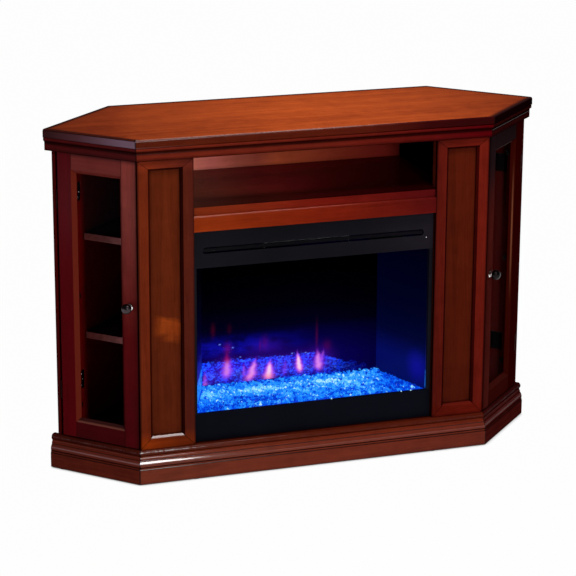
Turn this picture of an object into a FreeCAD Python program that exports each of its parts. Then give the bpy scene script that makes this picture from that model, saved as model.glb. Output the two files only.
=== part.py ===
import FreeCAD, Part
import math
import os
import Sketcher
from FreeCAD import Placement, Rotation, Vector

# Electric fireplace mantel: a six-sided wooden cabinet with a media bay over an electric firebox, and a
# glazed cabinet behind each slanted front corner. Millimetres, +Z up, front towards -Y, origin on the floor
# under the middle of the outline.

SIZES = {
    # outline of the top slab, whose four slanted sides stand at 45 degrees
    "overall_width": 1219.0,
    "overall_depth": 375.0,
    "overall_height": 825.0,
    # share of the depth that the front slants take up
    "front_slant_share": 0.465333,
    # the body stands back from the slab on its front, rear slants and back
    "front_inset": 14.0,
    "rear_inset": 14.0,
    "back_inset": 8.0,
    "board": 16.0,
    "fit": 1.0,
    # slab, cornice and plinth
    "slab_thickness": 20.0,
    "slab_top_round": 5.0,
    "slab_bottom_round": 3.0,
    "moulding_back": 6.0,
    "cornice_height": 31.0,
    "cornice_band_out": 8.0,
    "cornice_band_height": 14.0,
    "cornice_round": 2.0,
    "cornice_cove_height": 8.0,
    "cornice_cove_radius": 7.0,
    "cornice_top_out": 12.5,
    "cornice_step": 1.0,
    "batten_width": 40.0,
    "glide_height": 2.0,
    "glide_radius": 9.0,
    "plinth_height": 82.0,
    "plinth_flat": 37.0,
    "plinth_quirk": 1.0,
    "plinth_fillet": 4.0,
    "plinth_ovolo_height": 16.0,
    "plinth_ovolo_radius": 15.0,
    "plinth_neck_out": 8.0,
    "plinth_cove_height": 8.0,
    "plinth_cove_radius": 6.0,
    "plinth_bead_height": 12.0,
    "plinth_bead_radius": 9.0,
    "plinth_top_out": 4.0,
    # centre bay and pilasters
    "pilaster_width": 132.2,
    "bay_overhang": 38.0,
    "pilaster_frame_thickness": 10.0,
    "pilaster_frame_width": 30.0,
    "pilaster_frame_top": 25.0,
    "pilaster_frame_bevel": 5.0,
    "media_floor": 653.5,
    "media_shelf_thickness": 18.0,
    "media_shelf_setback": 6.0,
    "fascia_height": 38.5,
    "fascia_thickness": 20.0,
    "fascia_round": 5.0,
    "fascia_setback": 1.0,
    "back_board": 5.0,
    # corner cabinets
    "rear_panel_lip": 7.0,
    "rear_panel_rebate": 22.0,
    "shelf_setback": 104.0,
    "upper_shelf_top": 554.0,
    "lower_shelf_top": 310.0,
    "support_width": 12.0,
    "support_height": 16.0,
    "support_reach": 10.0,
    "support_sheet": 1.5,
    "support_end": 45.0,
    # doors
    "door_thickness": 20.0,
    "door_gap": 2.0,
    "door_hinge_gap": 6.0,
    "door_lock_gap": 4.0,
    "door_edge_round": 2.0,
    "stile_face": 38.0,
    "stile_bevel": 9.0,
    "stile_bevel_depth": 10.0,
    "glass_seat_depth": 12.0,
    "glass_seat_width": 8.0,
    "glass_thickness": 4.0,
    "glass_fit": 0.5,
    "clip_length": 18.0,
    "clip_width": 12.0,
    "clip_sheet": 1.5,
    "clip_foot": 5.0,
    "clip_end": 70.0,
    "knob_radius": 12.0,
    "knob_centre": 16.5,
    "knob_neck": 5.0,
    "knob_base_radius": 8.0,
    "knob_base_height": 2.0,
    # hinges and catches
    "barrel_radius": 2.5,
    "barrel_depth": 3.0,
    "pin_radius": 1.2,
    "pin_clearance": 0.05,
    "knuckle_clearance": 0.3,
    "hinge_height": 45.0,
    "hinge_end": 90.0,
    "leaf": 1.5,
    "plate_length": 68.0,
    "door_leaf_length": 32.0,
    "catch_length": 30.0,
    "catch_depth": 15.0,
    "catch_height": 14.0,
    "catch_start": 14.0,
    "catch_gap": 0.3,
    "strike_sheet": 1.0,
    # firebox front
    "firebox_setback": 14.0,
    "bezel_sheet": 2.0,
    "trim_width": 8.0,
    "window_bottom": 150.0,
    "header_height": 90.0,
    "outlet_drop": 41.0,
    "outlet_height": 15.0,
    "outlet_inset": 24.0,
    "outlet_end_round": 6.0,
    "louvre_overlap": 8.0,
    "louvre_depth": 9.0,
    "louvre_sheet": 1.5,
    "louvre_behind": 5.0,
    "louvre_foot": 2.5,
    "louvre_rise": 7.5,
    "louvre_lean": 4.0,
    "apron_lip": 9.0,
    "trim_return": 12.0,
    "pane_edge": 4.0,
    # firebox case and chamber
    "case_sheet": 1.5,
    "works_depth": 54.0,
    "vent_width": 6.0,
    "vent_height": 60.0,
    "vent_pitch": 16.0,
    "vent_count": 12.0,
    "vent_drop": 86.0,
    "liner_sheet": 2.0,
    "chamber_depth": 168.0,
    "screen_inset": 63.0,
    "screen_thickness": 4.0,
    "tray_drop": 22.0,
    "bed_front_height": 22.0,
    "bed_back_height": 24.0,
    "led_width": 10.0,
    "led_height": 4.0,
    "led_inset": 13.0,
    # flame rotor and its drive
    "shaft_radius": 2.5,
    "shaft_clearance": 0.05,
    "rotor_inset": 13.0,
    "rotor_behind_screen": 27.0,
    "rotor_above_tray": 36.0,
    "flag_share": 0.45,
    "flag_radius": 10.0,
    "flag_sheet": 1.0,
    "flag_rows": 4.0,
    "flag_margin": 20.0,
    "bearing_plate": 4.0,
    "bearing_width": 24.0,
    "motor_radius": 15.0,
    "motor_length": 24.0,
    # blower and heater in the upper compartment
    "blower_behind_face": 128.0,
    "wheel_radius": 22.0,
    "wheel_length": 200.0,
    "wheel_disc": 2.0,
    "blade_count": 18.0,
    "blade_length": 7.0,
    "blade_sheet": 1.0,
    "housing_sheet": 2.0,
    "housing_end_gap": 4.0,
    "housing_front": 66.0,
    "housing_back": 34.0,
    "scroll_radius": 30.0,
    "blower_motor_radius": 24.0,
    "blower_motor_length": 36.0,
    "heater_height": 48.0,
    "heater_depth": 14.0,
    "heater_front": 58.0,
    "fin_pitch": 9.0,
    "fin_gap": 5.0,
    "fin_depth": 5.0,
    # board, gland and brackets
    "pcb_length": 90.0,
    "pcb_width": 60.0,
    "pcb_thickness": 1.6,
    "pcb_post": 6.0,
    "pcb_inset": 36.5,
    "pcb_front": 70.0,
    "relay_size": 18.0,
    "gland_radius": 9.0,
    "gland_body_radius": 6.5,
    "gland_clearance": 0.3,
    "gland_flange": 3.0,
    "gland_length": 12.0,
    "gland_bore": 4.0,
    "gland_inset": 56.0,
    "gland_height": 24.0,
    "bracket_width": 40.0,
    "bracket_leg": 30.0,
    "bracket_inset": 96.0,
}

ROOT2 = math.sqrt(2.0)
HALF_ROOT2 = math.sqrt(0.5)
# a 45 degree corner is mitred at half that angle
MITRE = math.tan(math.radians(22.5))
MARGIN = 5.0
SIDES = {"left": -1, "right": 1}

doc = FreeCAD.newDocument("FireplaceMantel")
nodes = []


class Length:
    """A number together with the sheet expression that it is worked out from."""

    def __init__(self, value, text):
        self.value = value
        self.text = text

    def join(self, sign, other, value):
        return Length(value, "(%s %s %s)" % (self.text, sign, other.text))

    def __add__(self, other):
        other = length(other)
        return self.join("+", other, self.value + other.value)

    def __radd__(self, other):
        return length(other) + self

    def __sub__(self, other):
        other = length(other)
        return self.join("-", other, self.value - other.value)

    def __rsub__(self, other):
        return length(other) - self

    def __mul__(self, other):
        other = length(other)
        return self.join("*", other, self.value * other.value)

    def __rmul__(self, other):
        return length(other) * self

    def __truediv__(self, other):
        other = length(other)
        return self.join("/", other, self.value / other.value)

    def __neg__(self):
        return length(-1) * self


def root(number):
    return Length(math.sqrt(number.value), "sqrt(%s)" % number.text)


def length(number):
    if isinstance(number, Length):
        return number
    return Length(float(number), "(%.9f)" % number)


class Sheet:
    """The driving sizes, kept in a spreadsheet and read back as lengths."""

    def __init__(self, sizes):
        cells = doc.addObject("Spreadsheet::Sheet", "Sizes")
        for row, (name, value) in enumerate(sizes.items(), start=1):
            cells.set("A%d" % row, name)
            cells.set("B%d" % row, "%g" % value)
            cells.setAlias("B%d" % row, name)
        doc.recompute()
        for name in sizes:
            setattr(self, name, Length(float(cells.get(name)), "Sizes." + name))


size = Sheet(SIZES)


def bind(thing, name, number):
    thing.setExpression(name, length(number).text)


def place(thing, x, y, z, turn=None):
    """Put an object at x, y, z, each bound to the sheet."""
    spot = [length(value) for value in (x, y, z)]
    thing.Placement = Placement(Vector(*[value.value for value in spot]), turn or Rotation())
    for axis, value in zip("xyz", spot):
        bind(thing, "Placement.Base." + axis, value)
    return thing


def keep(label, thing):
    """Name a finished sub-part and list it for writing."""
    thing.Label = label
    nodes.append(thing)
    return thing


def group(label, members):
    """Several separate solids that share one node."""
    bundle = doc.addObject("Part::Compound", "Group")
    bundle.Links = members
    return keep(label, bundle)


def new_body():
    return doc.addObject("PartDesign::Body", "Body")


def origin_feature(body, role):
    return [item for item in body.Origin.OriginFeatures if item.Role == role][0]


def new_sketch(body, plane, offset):
    drawing = body.newObject("Sketcher::SketchObject", "Sketch")
    drawing.AttachmentSupport = (origin_feature(body, plane + "_Plane"), "")
    drawing.MapMode = "FlatFace"
    offset = length(offset)
    drawing.AttachmentOffset = Placement(Vector(0, 0, offset.value), Rotation())
    bind(drawing, "AttachmentOffset.Base.z", offset)
    return drawing


def arc_between(start, end, radius):
    """The smaller arc from start to end, leftward round its centre where the radius is positive."""
    chord = end - start
    half = chord.Length / 2.0
    rise = math.sqrt(max(radius * radius - half * half, 0.0))
    normal = Vector(-chord.y, chord.x, 0).normalize()
    centre = (start + end) * 0.5 + normal * math.copysign(rise, radius)
    first, last = (start, end) if radius > 0 else (end, start)
    angles = [math.atan2(point.y - centre.y, point.x - centre.x) for point in (first, last)]
    circle = Part.Circle(centre, Vector(0, 0, 1), abs(radius))
    return Part.ArcOfCircle(circle, angles[0], angles[1])


def outline(body, plane, points, offset):
    """A closed outline with every corner bound. A third value is the radius of the arc to the next corner."""
    drawing = new_sketch(body, plane, offset)
    corners = [tuple(length(value) for value in point) for point in points]
    count = len(corners)
    shapes = []
    ends = []
    for index, corner in enumerate(corners):
        follower = corners[(index + 1) % count]
        start = Vector(corner[0].value, corner[1].value, 0)
        end = Vector(follower[0].value, follower[1].value, 0)
        if len(corner) == 3:
            shapes.append(arc_between(start, end, corner[2].value))
            clockwise = corner[2].value < 0
        else:
            shapes.append(Part.LineSegment(start, end))
            clockwise = False
        ends.append(((index, 2), (index, 1)) if clockwise else ((index, 1), (index, 2)))
    drawing.addGeometry(shapes)
    rules = []
    texts = []
    for index, corner in enumerate(corners):
        rules.append(Sketcher.Constraint("Coincident", *ends[index][1], *ends[(index + 1) % count][0]))
        texts.append(None)
        rules.append(Sketcher.Constraint("DistanceX", -1, 1, *ends[index][0], corner[0].value))
        texts.append(corner[0].text)
        rules.append(Sketcher.Constraint("DistanceY", -1, 1, *ends[index][0], corner[1].value))
        texts.append(corner[1].text)
        if len(corner) == 3:
            rules.append(Sketcher.Constraint("Radius", index, abs(corner[2].value)))
            texts.append("abs(%s)" % corner[2].text)
    drawing.addConstraint(rules)
    for index, text in enumerate(texts):
        if text:
            drawing.setExpression("Constraints[%d]" % index, text)
    return drawing


def disc(body, plane, centre, radius, offset):
    drawing = new_sketch(body, plane, offset)
    across, along = length(centre[0]), length(centre[1])
    radius = length(radius)
    drawing.addGeometry(Part.Circle(Vector(across.value, along.value, 0), Vector(0, 0, 1), radius.value))
    drawing.addConstraint([
        Sketcher.Constraint("DistanceX", -1, 1, 0, 3, across.value),
        Sketcher.Constraint("DistanceY", -1, 1, 0, 3, along.value),
        Sketcher.Constraint("Radius", 0, radius.value),
    ])
    for index, value in enumerate((across, along, radius)):
        drawing.setExpression("Constraints[%d]" % index, value.text)
    return drawing


def facing(plane):
    """The XZ plane looks along -Y, the other two along their own axis."""
    return -1 if plane == "XZ" else 1


def raise_pad(body, draw, plane, shape, low, high):
    """Add material between two heights along the plane's axis."""
    low, high = length(low), length(high)
    start = low if facing(plane) > 0 else -high
    feature = body.newObject("PartDesign::Pad", "Pad")
    feature.Profile = draw(body, plane, *shape, start)
    bind(feature, "Length", high - low)
    doc.recompute()
    return feature


def sink_pocket(body, draw, plane, shape, low, high):
    """Remove material between two heights along the plane's axis, and see that some went."""
    before = body.Shape.Volume
    low, high = length(low), length(high)
    start = high if facing(plane) > 0 else -low
    feature = body.newObject("PartDesign::Pocket", "Pocket")
    feature.Profile = draw(body, plane, *shape, start)
    bind(feature, "Length", high - low)
    doc.recompute()
    if not body.Shape.Volume < before:
        raise ValueError("a pocket removed nothing from " + body.Label)
    return feature


def pad(body, plane, points, low, high):
    return raise_pad(body, outline, plane, (points,), low, high)


def pocket(body, plane, points, low, high):
    return sink_pocket(body, outline, plane, (points,), low, high)


def round_pad(body, plane, centre, radius, low, high):
    return raise_pad(body, disc, plane, (centre, radius), low, high)


def round_pocket(body, plane, centre, radius, low, high):
    return sink_pocket(body, disc, plane, (centre, radius), low, high)


def prism(plane, points, low, high):
    body = new_body()
    pad(body, plane, points, low, high)
    return body


def rectangle(low_x, high_x, low_y, high_y):
    return [(low_x, low_y), (high_x, low_y), (high_x, high_y), (low_x, high_y)]


def block(low_x, high_x, low_y, high_y, low_z, high_z):
    """A plain board or plate."""
    box = doc.addObject("Part::Box", "Box")
    bind(box, "Length", length(high_x) - low_x)
    bind(box, "Width", length(high_y) - low_y)
    bind(box, "Height", length(high_z) - low_z)
    return place(box, low_x, low_y, low_z)


def span(side, near, far):
    """Low and high end of a stretch that is mirrored to the left for side -1."""
    return (near, far) if side > 0 else (-length(far), -length(near))


def mirrored(side, points):
    """An outline for one side. Arcs turn the other way when mirrored."""
    return [(side * length(p[0]), p[1]) + tuple(side * length(r) for r in p[2:]) for p in points]


# Levels and planes shared by many pieces
half_width = size.overall_width / 2
front_run = size.overall_depth * size.front_slant_share
rear_run = size.overall_depth - front_run
slab_bottom = size.overall_height - size.slab_thickness
body_top = slab_bottom - size.cornice_height
body_bottom = size.plinth_height
face_y = -size.overall_depth / 2 + size.front_inset
back_y = size.overall_depth / 2 - size.back_inset
# the front slant keeps x - y, and the rear slant x + y, at these values on the slab's outline
front_slant = half_width - front_run + size.overall_depth / 2
rear_slant = half_width - rear_run + size.overall_depth / 2
body_front_slant = front_slant - ROOT2 * size.front_inset
body_rear_slant = rear_slant - ROOT2 * size.rear_inset
corner_x = body_front_slant + face_y
slant_length = (body_front_slant + body_rear_slant - 2 * corner_x) * HALF_ROOT2
opening = corner_x - size.pilaster_width
partition_in = opening + size.bay_overhang
partition_out = partition_in + size.board
panel_in = slant_length - size.board
inner_back = back_y - size.back_board
media_shelf_bottom = size.media_floor - size.media_shelf_thickness
fascia_bottom = media_shelf_bottom - size.fascia_height
pilaster_front = face_y + size.pilaster_frame_thickness
pilaster_back = pilaster_front + size.board


def hexagon(front, rear, back):
    """The six-sided plan, stood in from the slab's outline on its front sides, rear slants and back."""
    front_edge = -size.overall_depth / 2 + front
    back_edge = size.overall_depth / 2 - back
    front_line = front_slant - ROOT2 * length(front)
    rear_line = rear_slant - ROOT2 * length(rear)
    front_x = front_line + front_edge
    back_x = rear_line - back_edge
    side_x = (front_line + rear_line) / 2
    side_y = (rear_line - front_line) / 2
    return [(-front_x, front_edge), (front_x, front_edge), (side_x, side_y),
            (back_x, back_edge), (-back_x, back_edge), (-side_x, side_y)]


def on_slant(thing, side):
    """Slanted-side frame: origin at the body's front corner, X along the face, +Y into the cabinet."""
    return place(thing, side * corner_x, face_y, 0, Rotation(Vector(0, 0, 1), 45 * side))


def slant_point(side, along, depth):
    """A point of that frame in the model's own axes."""
    along, depth = length(along), length(depth)
    x = corner_x + (along - depth) * HALF_ROOT2
    y = face_y + (along + depth) * HALF_ROOT2
    return side * x, y


def edge_names(feature, wanted):
    shape = feature.Shape
    return ["Edge%d" % (i + 1) for i, edge in enumerate(shape.Edges) if wanted(edge.CenterOfMass, edge)]


def round_edges(body, feature, radius, wanted):
    names = edge_names(feature, wanted)
    fillet = body.newObject("PartDesign::Fillet", "Fillet")
    fillet.Base = (feature, names)
    bind(fillet, "Radius", radius)
    doc.recompute()
    return fillet


def make_top():
    slab = prism("XY", hexagon(0, 0, 0), slab_bottom, size.overall_height)
    side_line = (rear_slant - front_slant).value / 2

    def front_edge_at(height):
        def wanted(middle, edge):
            level = abs(middle.z - height.value) < 0.01
            return level and edge.BoundBox.ZLength < 0.01 and middle.y < side_line - 0.01
        return wanted

    rounded = round_edges(slab, slab.Tip, size.slab_top_round, front_edge_at(size.overall_height))
    round_edges(slab, rounded, size.slab_bottom_round, front_edge_at(slab_bottom))
    keep("top_slab", slab)
    inner = size.front_inset + size.moulding_back
    plan = hexagon(inner, size.rear_inset, size.back_inset)
    keep("sub_top", prism("XY", plan, body_top, body_top + size.board))
    batten_low = body_top + size.board
    front_x, front_edge = plan[1]
    side_x, side_y = plan[2]
    back_x, back_edge = plan[3]
    width = size.batten_width
    run = ROOT2 * width
    back = block(-back_x + run, back_x - run, back_edge - width, back_edge, batten_low, slab_bottom)
    battens = [back]
    for side in SIDES.values():
        points = [(side_x, side_y), (back_x, back_edge), (back_x - run, back_edge), (side_x - run, side_y)]
        battens.append(prism("XY", mirrored(side, points), batten_low, slab_bottom))
    group("top_battens", battens)


def cornice_profile():
    """Distance out from the body's face against height."""
    band_top = body_top + size.cornice_round + size.cornice_band_height
    cove_top = band_top + size.cornice_cove_height
    top_in = size.cornice_top_out - size.cornice_step
    return [
        (-size.moulding_back, body_top),
        (size.cornice_band_out - size.cornice_round, body_top, size.cornice_round),
        (size.cornice_band_out, body_top + size.cornice_round),
        (size.cornice_band_out, band_top, -size.cornice_cove_radius),
        (top_in, cove_top),
        (size.cornice_top_out, cove_top),
        (size.cornice_top_out, slab_bottom),
        (-size.moulding_back, slab_bottom),
    ]


def plinth_profile():
    quirk_top = size.plinth_flat + size.plinth_quirk
    ovolo_low = quirk_top + size.plinth_fillet
    ovolo_top = ovolo_low + size.plinth_ovolo_height
    bead_low = size.plinth_height - size.plinth_bead_height
    fillet_out = size.front_inset - size.plinth_quirk
    neck_in = size.plinth_neck_out - size.plinth_quirk
    cove_low = bead_low - size.plinth_cove_height
    return [
        (-size.moulding_back, size.glide_height),
        (size.front_inset, size.glide_height),
        (size.front_inset, size.plinth_flat),
        (fillet_out, quirk_top),
        (fillet_out, ovolo_low),
        (fillet_out - size.plinth_quirk, ovolo_low, size.plinth_ovolo_radius),
        (size.plinth_neck_out, ovolo_top),
        (size.plinth_neck_out, cove_low, -size.plinth_cove_radius),
        (neck_in, bead_low),
        (size.plinth_neck_out, bead_low, size.plinth_bead_radius),
        (size.plinth_top_out, size.plinth_height),
        (-size.moulding_back, size.plinth_height),
    ]


def make_moulding(name, profile):
    """Three lengths of one moulding, mitred where the front meets the slants, cut square at the rear."""
    reach = size.front_inset + MARGIN
    inside = size.moulding_back + MARGIN
    far = corner_x + reach
    front = new_body()
    drawn = [(face_y - p[0], p[1]) + tuple(-length(r) for r in p[2:]) for p in profile]
    pad(front, "YZ", drawn, -far, far)
    beyond = far + MARGIN
    cut = [(corner_x + MITRE * reach, face_y - reach), (beyond, face_y - reach),
           (beyond, face_y + inside), (corner_x - MITRE * inside, face_y + inside)]
    level = profile[0][1] - MARGIN
    top = profile[-1][1] + MARGIN
    for side in SIDES.values():
        pocket(front, "XY", mirrored(side, cut), level, top)
    keep(name + "_front", front)
    for word, side in SIDES.items():
        length_body = new_body()
        drawn = [(-length(p[0]), p[1]) + tuple(-length(r) for r in p[2:]) for p in profile]
        pad(length_body, "YZ", drawn, *span(side, -reach, slant_length + size.rear_inset))
        cut = [(-MITRE * reach, -reach), (-beyond, -reach), (-beyond, inside), (MITRE * inside, inside)]
        pocket(length_body, "XY", mirrored(side, cut), level, top)
        keep(name + "_" + word, on_slant(length_body, side))


def make_base():
    inner = size.front_inset + size.moulding_back
    rear = size.rear_inset + size.board
    back = size.back_inset + size.board
    plan = hexagon(inner, rear, back)
    keep("bottom_deck", prism("XY", plan, size.plinth_height - size.board, size.plinth_height))
    outer = hexagon(inner, size.rear_inset, size.back_inset)
    back_x, back_edge = outer[3]
    inner_x, inner_edge = plan[3]
    boards = [prism("XY", [(-back_x, back_edge), (back_x, back_edge), (inner_x, inner_edge),
                           (-inner_x, inner_edge)], size.glide_height, size.plinth_height)]
    for side in SIDES.values():
        points = [outer[2], (back_x, back_edge), (inner_x, inner_edge), plan[2]]
        boards.append(prism("XY", mirrored(side, points), size.glide_height, size.plinth_height))
    group("plinth_rear_boards", boards)
    glides = []
    front_line = face_y + size.moulding_back - size.glide_radius - size.fit
    back_line = back_y - size.board / 2
    for side in SIDES.values():
        corner = slant_point(side, slant_length - size.board, front_line - face_y)
        spots = [(side * opening, front_line), (side * opening, back_line), corner]
        for x, y in spots:
            glide = doc.addObject("Part::Cylinder", "Glide")
            bind(glide, "Radius", size.glide_radius)
            bind(glide, "Height", size.glide_height)
            glides.append(place(glide, x, y, 0))
    group("floor_glides", glides)


def make_uprights():
    for word, side in SIDES.items():
        low, high = span(side, partition_in, partition_out)
        keep(word + "_partition", block(low, high, pilaster_back, inner_back, body_bottom, body_top))
        lip = slant_length - size.rear_panel_lip
        run = (back_y - face_y) * ROOT2
        points = [(lip, 0), (slant_length, 0), (slant_length, run - slant_length), (panel_in, run - panel_in),
                  (panel_in, size.rear_panel_rebate), (lip, size.rear_panel_rebate)]
        panel = prism("XY", mirrored(side, points), body_bottom, body_top)
        keep(word + "_rear_panel", on_slant(panel, side))
    boards = []
    middle = partition_in + size.board / 2
    boards.append(block(-middle, middle, inner_back, back_y, media_shelf_bottom, body_top))
    panel_end = body_rear_slant - ROOT2 * size.board - back_y
    for side in SIDES.values():
        points = [(middle, inner_back), (panel_end + size.back_board, inner_back), (panel_end, back_y),
                  (middle, back_y)]
        boards.append(prism("XY", mirrored(side, points), body_bottom, body_top))
    group("back_boards", boards)


def make_pilasters():
    thick = size.pilaster_frame_thickness
    bevel = size.pilaster_frame_bevel
    height = body_top - body_bottom
    width = corner_x - opening
    stile = size.pilaster_frame_width
    top = size.pilaster_frame_top
    boards = []
    for word, side in SIDES.items():
        points = [(opening, pilaster_front), (corner_x - thick, pilaster_front),
                  (corner_x - thick - size.board, pilaster_back), (opening, pilaster_back)]
        boards.append(prism("XY", mirrored(side, points), body_bottom, body_top))
        members = []
        for role in ("inner", "outer", "bottom", "top"):
            members.append(pilaster_part(role, side, thick, bevel, height, width, stile, top))
        group(word + "_pilaster_frame", members)
    group("pilaster_boards", boards)


def pilaster_part(role, side, thick, bevel, height, width, stile, top):
    """One of the four mitred members, drawn in the model's own axes."""
    body = new_body()
    low_x, high_x = opening, opening + width
    if role == "inner":
        section = [(low_x, face_y), (low_x + stile - bevel, face_y), (low_x + stile, face_y + bevel),
                   (low_x + stile, face_y + thick), (low_x, face_y + thick)]
    if role == "outer":
        section = [(high_x, face_y), (high_x - thick, face_y + thick), (high_x - stile, face_y + thick),
                   (high_x - stile, face_y + bevel), (high_x - stile + bevel, face_y)]
    if role in ("inner", "outer"):
        pad(body, "XY", mirrored(side, section), body_bottom, body_top)
        edge = low_x if role == "inner" else high_x
        turn = low_x + stile if role == "inner" else high_x - stile
        cuts = [[(edge, body_bottom), (turn, body_bottom), (turn, body_bottom + stile)],
                [(edge, body_top), (turn, body_top), (turn, body_top - top)]]
        for cut in cuts:
            pocket(body, "XZ", mirrored(side, cut), face_y - MARGIN, face_y + thick + MARGIN)
        return body
    wide = top if role == "top" else stile
    edge = body_top if role == "top" else body_bottom
    into = -1 if role == "top" else 1
    section = [(face_y, edge), (face_y, edge + into * (wide - bevel)), (face_y + bevel, edge + into * wide),
               (face_y + thick, edge + into * wide), (face_y + thick, edge)]
    pad(body, "YZ", section, *span(side, low_x, high_x))
    turn = edge + into * wide
    cuts = [[(low_x, edge), (low_x, turn), (low_x + stile, turn)],
            [(high_x, edge), (high_x, turn), (high_x - stile, turn)]]
    for cut in cuts:
        pocket(body, "XZ", mirrored(side, cut), face_y - MARGIN, face_y + thick + MARGIN)
    chamfer = [(high_x, face_y), (high_x + MARGIN, face_y), (high_x + MARGIN, face_y + thick),
               (high_x - thick, face_y + thick)]
    pocket(body, "XY", mirrored(side, chamfer), body_bottom - MARGIN, body_top + MARGIN)
    return body


def make_media_bay():
    front = face_y + size.media_shelf_setback
    points = [(-opening, front), (opening, front), (opening, pilaster_back), (partition_in, pilaster_back),
              (partition_in, inner_back), (-partition_in, inner_back), (-partition_in, pilaster_back),
              (-opening, pilaster_back)]
    keep("media_shelf", prism("XY", points, media_shelf_bottom, size.media_floor))
    near = face_y + size.fascia_setback
    far = near + size.fascia_thickness
    round_in = size.fascia_round
    section = [(near, fascia_bottom), (far, fascia_bottom), (far, media_shelf_bottom),
               (near + round_in, media_shelf_bottom, round_in), (near, media_shelf_bottom - round_in)]
    keep("media_fascia", prism("YZ", section, -opening, opening))


def make_cabinet_shelves():
    depth = size.shelf_setback
    panel_line = body_rear_slant - ROOT2 * (size.board + size.fit)
    wall = partition_out + size.fit
    rear = inner_back - size.fit
    front_line = body_front_slant - ROOT2 * depth
    corner = ((front_line + panel_line) / 2, (panel_line - front_line) / 2)
    plan = [(wall, wall - front_line), corner, (panel_line - rear, rear), (wall, rear)]
    shelves = []
    supports = []
    sheet = size.support_sheet
    low_half = size.support_width / 2
    for side in SIDES.values():
        for top in (size.upper_shelf_top, size.lower_shelf_top):
            bottom = top - size.board
            shelves.append(prism("XY", mirrored(side, plan), bottom, top))
            foot = bottom - size.support_height
            section = [(0, bottom), (size.support_reach, bottom), (size.support_reach, bottom - sheet),
                       (sheet, bottom - sheet), (sheet, foot), (0, foot)]
            near = wall - front_line + size.support_end
            far = rear - size.support_end
            for y in (near, far):
                drawn = mirrored(side, [(partition_out + p[0], p[1]) for p in section])
                supports.append(prism("XZ", drawn, y - low_half, y + low_half))
            panel_end = (inner_back - face_y) * ROOT2 - panel_in
            for y in (depth + size.support_end, panel_end - size.support_end):
                drawn = mirrored(side, [(panel_in - p[0], p[1]) for p in section])
                supports.append(on_slant(prism("XZ", drawn, y - low_half, y + low_half), side))
    group("cabinet_shelves", shelves)
    group("shelf_supports", supports)


# Doors, drawn in the slanted-side frame
door_low = body_bottom + size.door_gap
door_high = body_top - size.door_gap
lock_edge = size.door_lock_gap
hinge_edge = slant_length - size.rear_panel_lip - size.door_hinge_gap
barrel_x = hinge_edge + size.door_hinge_gap / 2
stile_width = size.stile_face + size.stile_bevel
hinge_levels = (door_low + size.hinge_end, door_high - size.hinge_end - size.hinge_height)


def sticking(edge, into, rounded):
    """A door member's section from its outer edge inwards: face, bevel, lip and glass seat."""
    thick = size.door_thickness
    inner = edge + into * stile_width
    seat = inner - into * size.glass_seat_width
    round_in = size.door_edge_round
    points = [(edge + into * size.stile_face, 0), (inner, size.stile_bevel_depth),
              (inner, size.glass_seat_depth), (seat, size.glass_seat_depth), (seat, thick), (edge, thick)]
    if rounded:
        return points + [(edge, round_in, -into * round_in), (edge + into * round_in, 0)]
    return points + [(edge, 0)]


def make_door(word, side):
    thick = size.door_thickness
    name = word + "_door_"
    lock = prism("XY", mirrored(side, sticking(lock_edge, 1, False)), door_low, door_high)
    keep(name + "lock_stile", on_slant(lock, side))
    hinge = prism("XY", mirrored(side, sticking(hinge_edge, -1, True)), door_low, door_high)
    for low in hinge_levels:
        pocket(hinge, "XY", mirrored(side, door_leaf_plan()), low, low + size.hinge_height)
    keep(name + "hinge_stile", on_slant(hinge, side))
    left = lock_edge + size.stile_face
    right = hinge_edge - size.stile_face
    rails = []
    for edge, into in ((door_low, 1), (door_high, -1)):
        rail = new_body()
        section = [(depth, height) for height, depth in sticking(edge, into, False)]
        pad(rail, "YZ", section, *span(side, left, right))
        for start, way in ((left, 1), (right, -1)):
            inner = start + way * size.stile_bevel
            seat = inner - way * size.glass_seat_width
            cope = [(start - way * MARGIN, 0), (start, 0), (inner, size.stile_bevel_depth),
                    (inner, size.glass_seat_depth), (seat, size.glass_seat_depth), (seat, thick),
                    (start - way * MARGIN, thick)]
            pocket(rail, "XY", mirrored(side, cope), door_low - MARGIN, door_high + MARGIN)
        rails.append(on_slant(rail, side))
    group(name + "rails", rails)
    inset = stile_width - size.glass_seat_width + size.glass_fit
    pane_low, pane_high = span(side, lock_edge + inset, hinge_edge - inset)
    seat = size.glass_seat_depth
    pane = prism("XY", rectangle(pane_low, pane_high, seat, seat + size.glass_thickness),
                 door_low + inset, door_high - inset)
    keep(name + "glass", on_slant(pane, side))
    make_door_fittings(name, side)
    make_knob(name, side)
    leaves = [door_leaf(side, low) for low in hinge_levels]
    group(name + "hinge_leaves", leaves)


def make_door_fittings(name, side):
    """Glass clips on the back of both stiles, and the catch's strike."""
    thick = size.door_thickness
    pieces = []
    seat_inset = stile_width - size.glass_seat_width
    glass_back = size.glass_seat_depth + size.glass_thickness
    middle = (door_low + door_high - size.clip_width) / 2
    for level in (door_low + size.clip_end, middle, door_high - size.clip_end - size.clip_width):
        for edge, way in ((lock_edge, 1), (hinge_edge, -1)):
            seat = edge + way * seat_inset
            foot = seat + way * size.glass_fit
            toe = foot + way * size.clip_foot
            heel = toe - way * size.clip_length
            plan = [(heel, thick), (foot, thick), (foot, glass_back), (toe, glass_back),
                    (toe, thick + size.clip_sheet), (heel, thick + size.clip_sheet)]
            clip = prism("XY", mirrored(side, plan), level, level + size.clip_width)
            pieces.append(on_slant(clip, side))
    low, high = span(side, size.catch_start, size.catch_start + size.catch_length)
    strike_low = body_top - size.catch_height
    strike = prism("XY", rectangle(low, high, thick, thick + size.strike_sheet), strike_low, door_high)
    pieces.append(on_slant(strike, side))
    group(name + "fittings", pieces)


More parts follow.
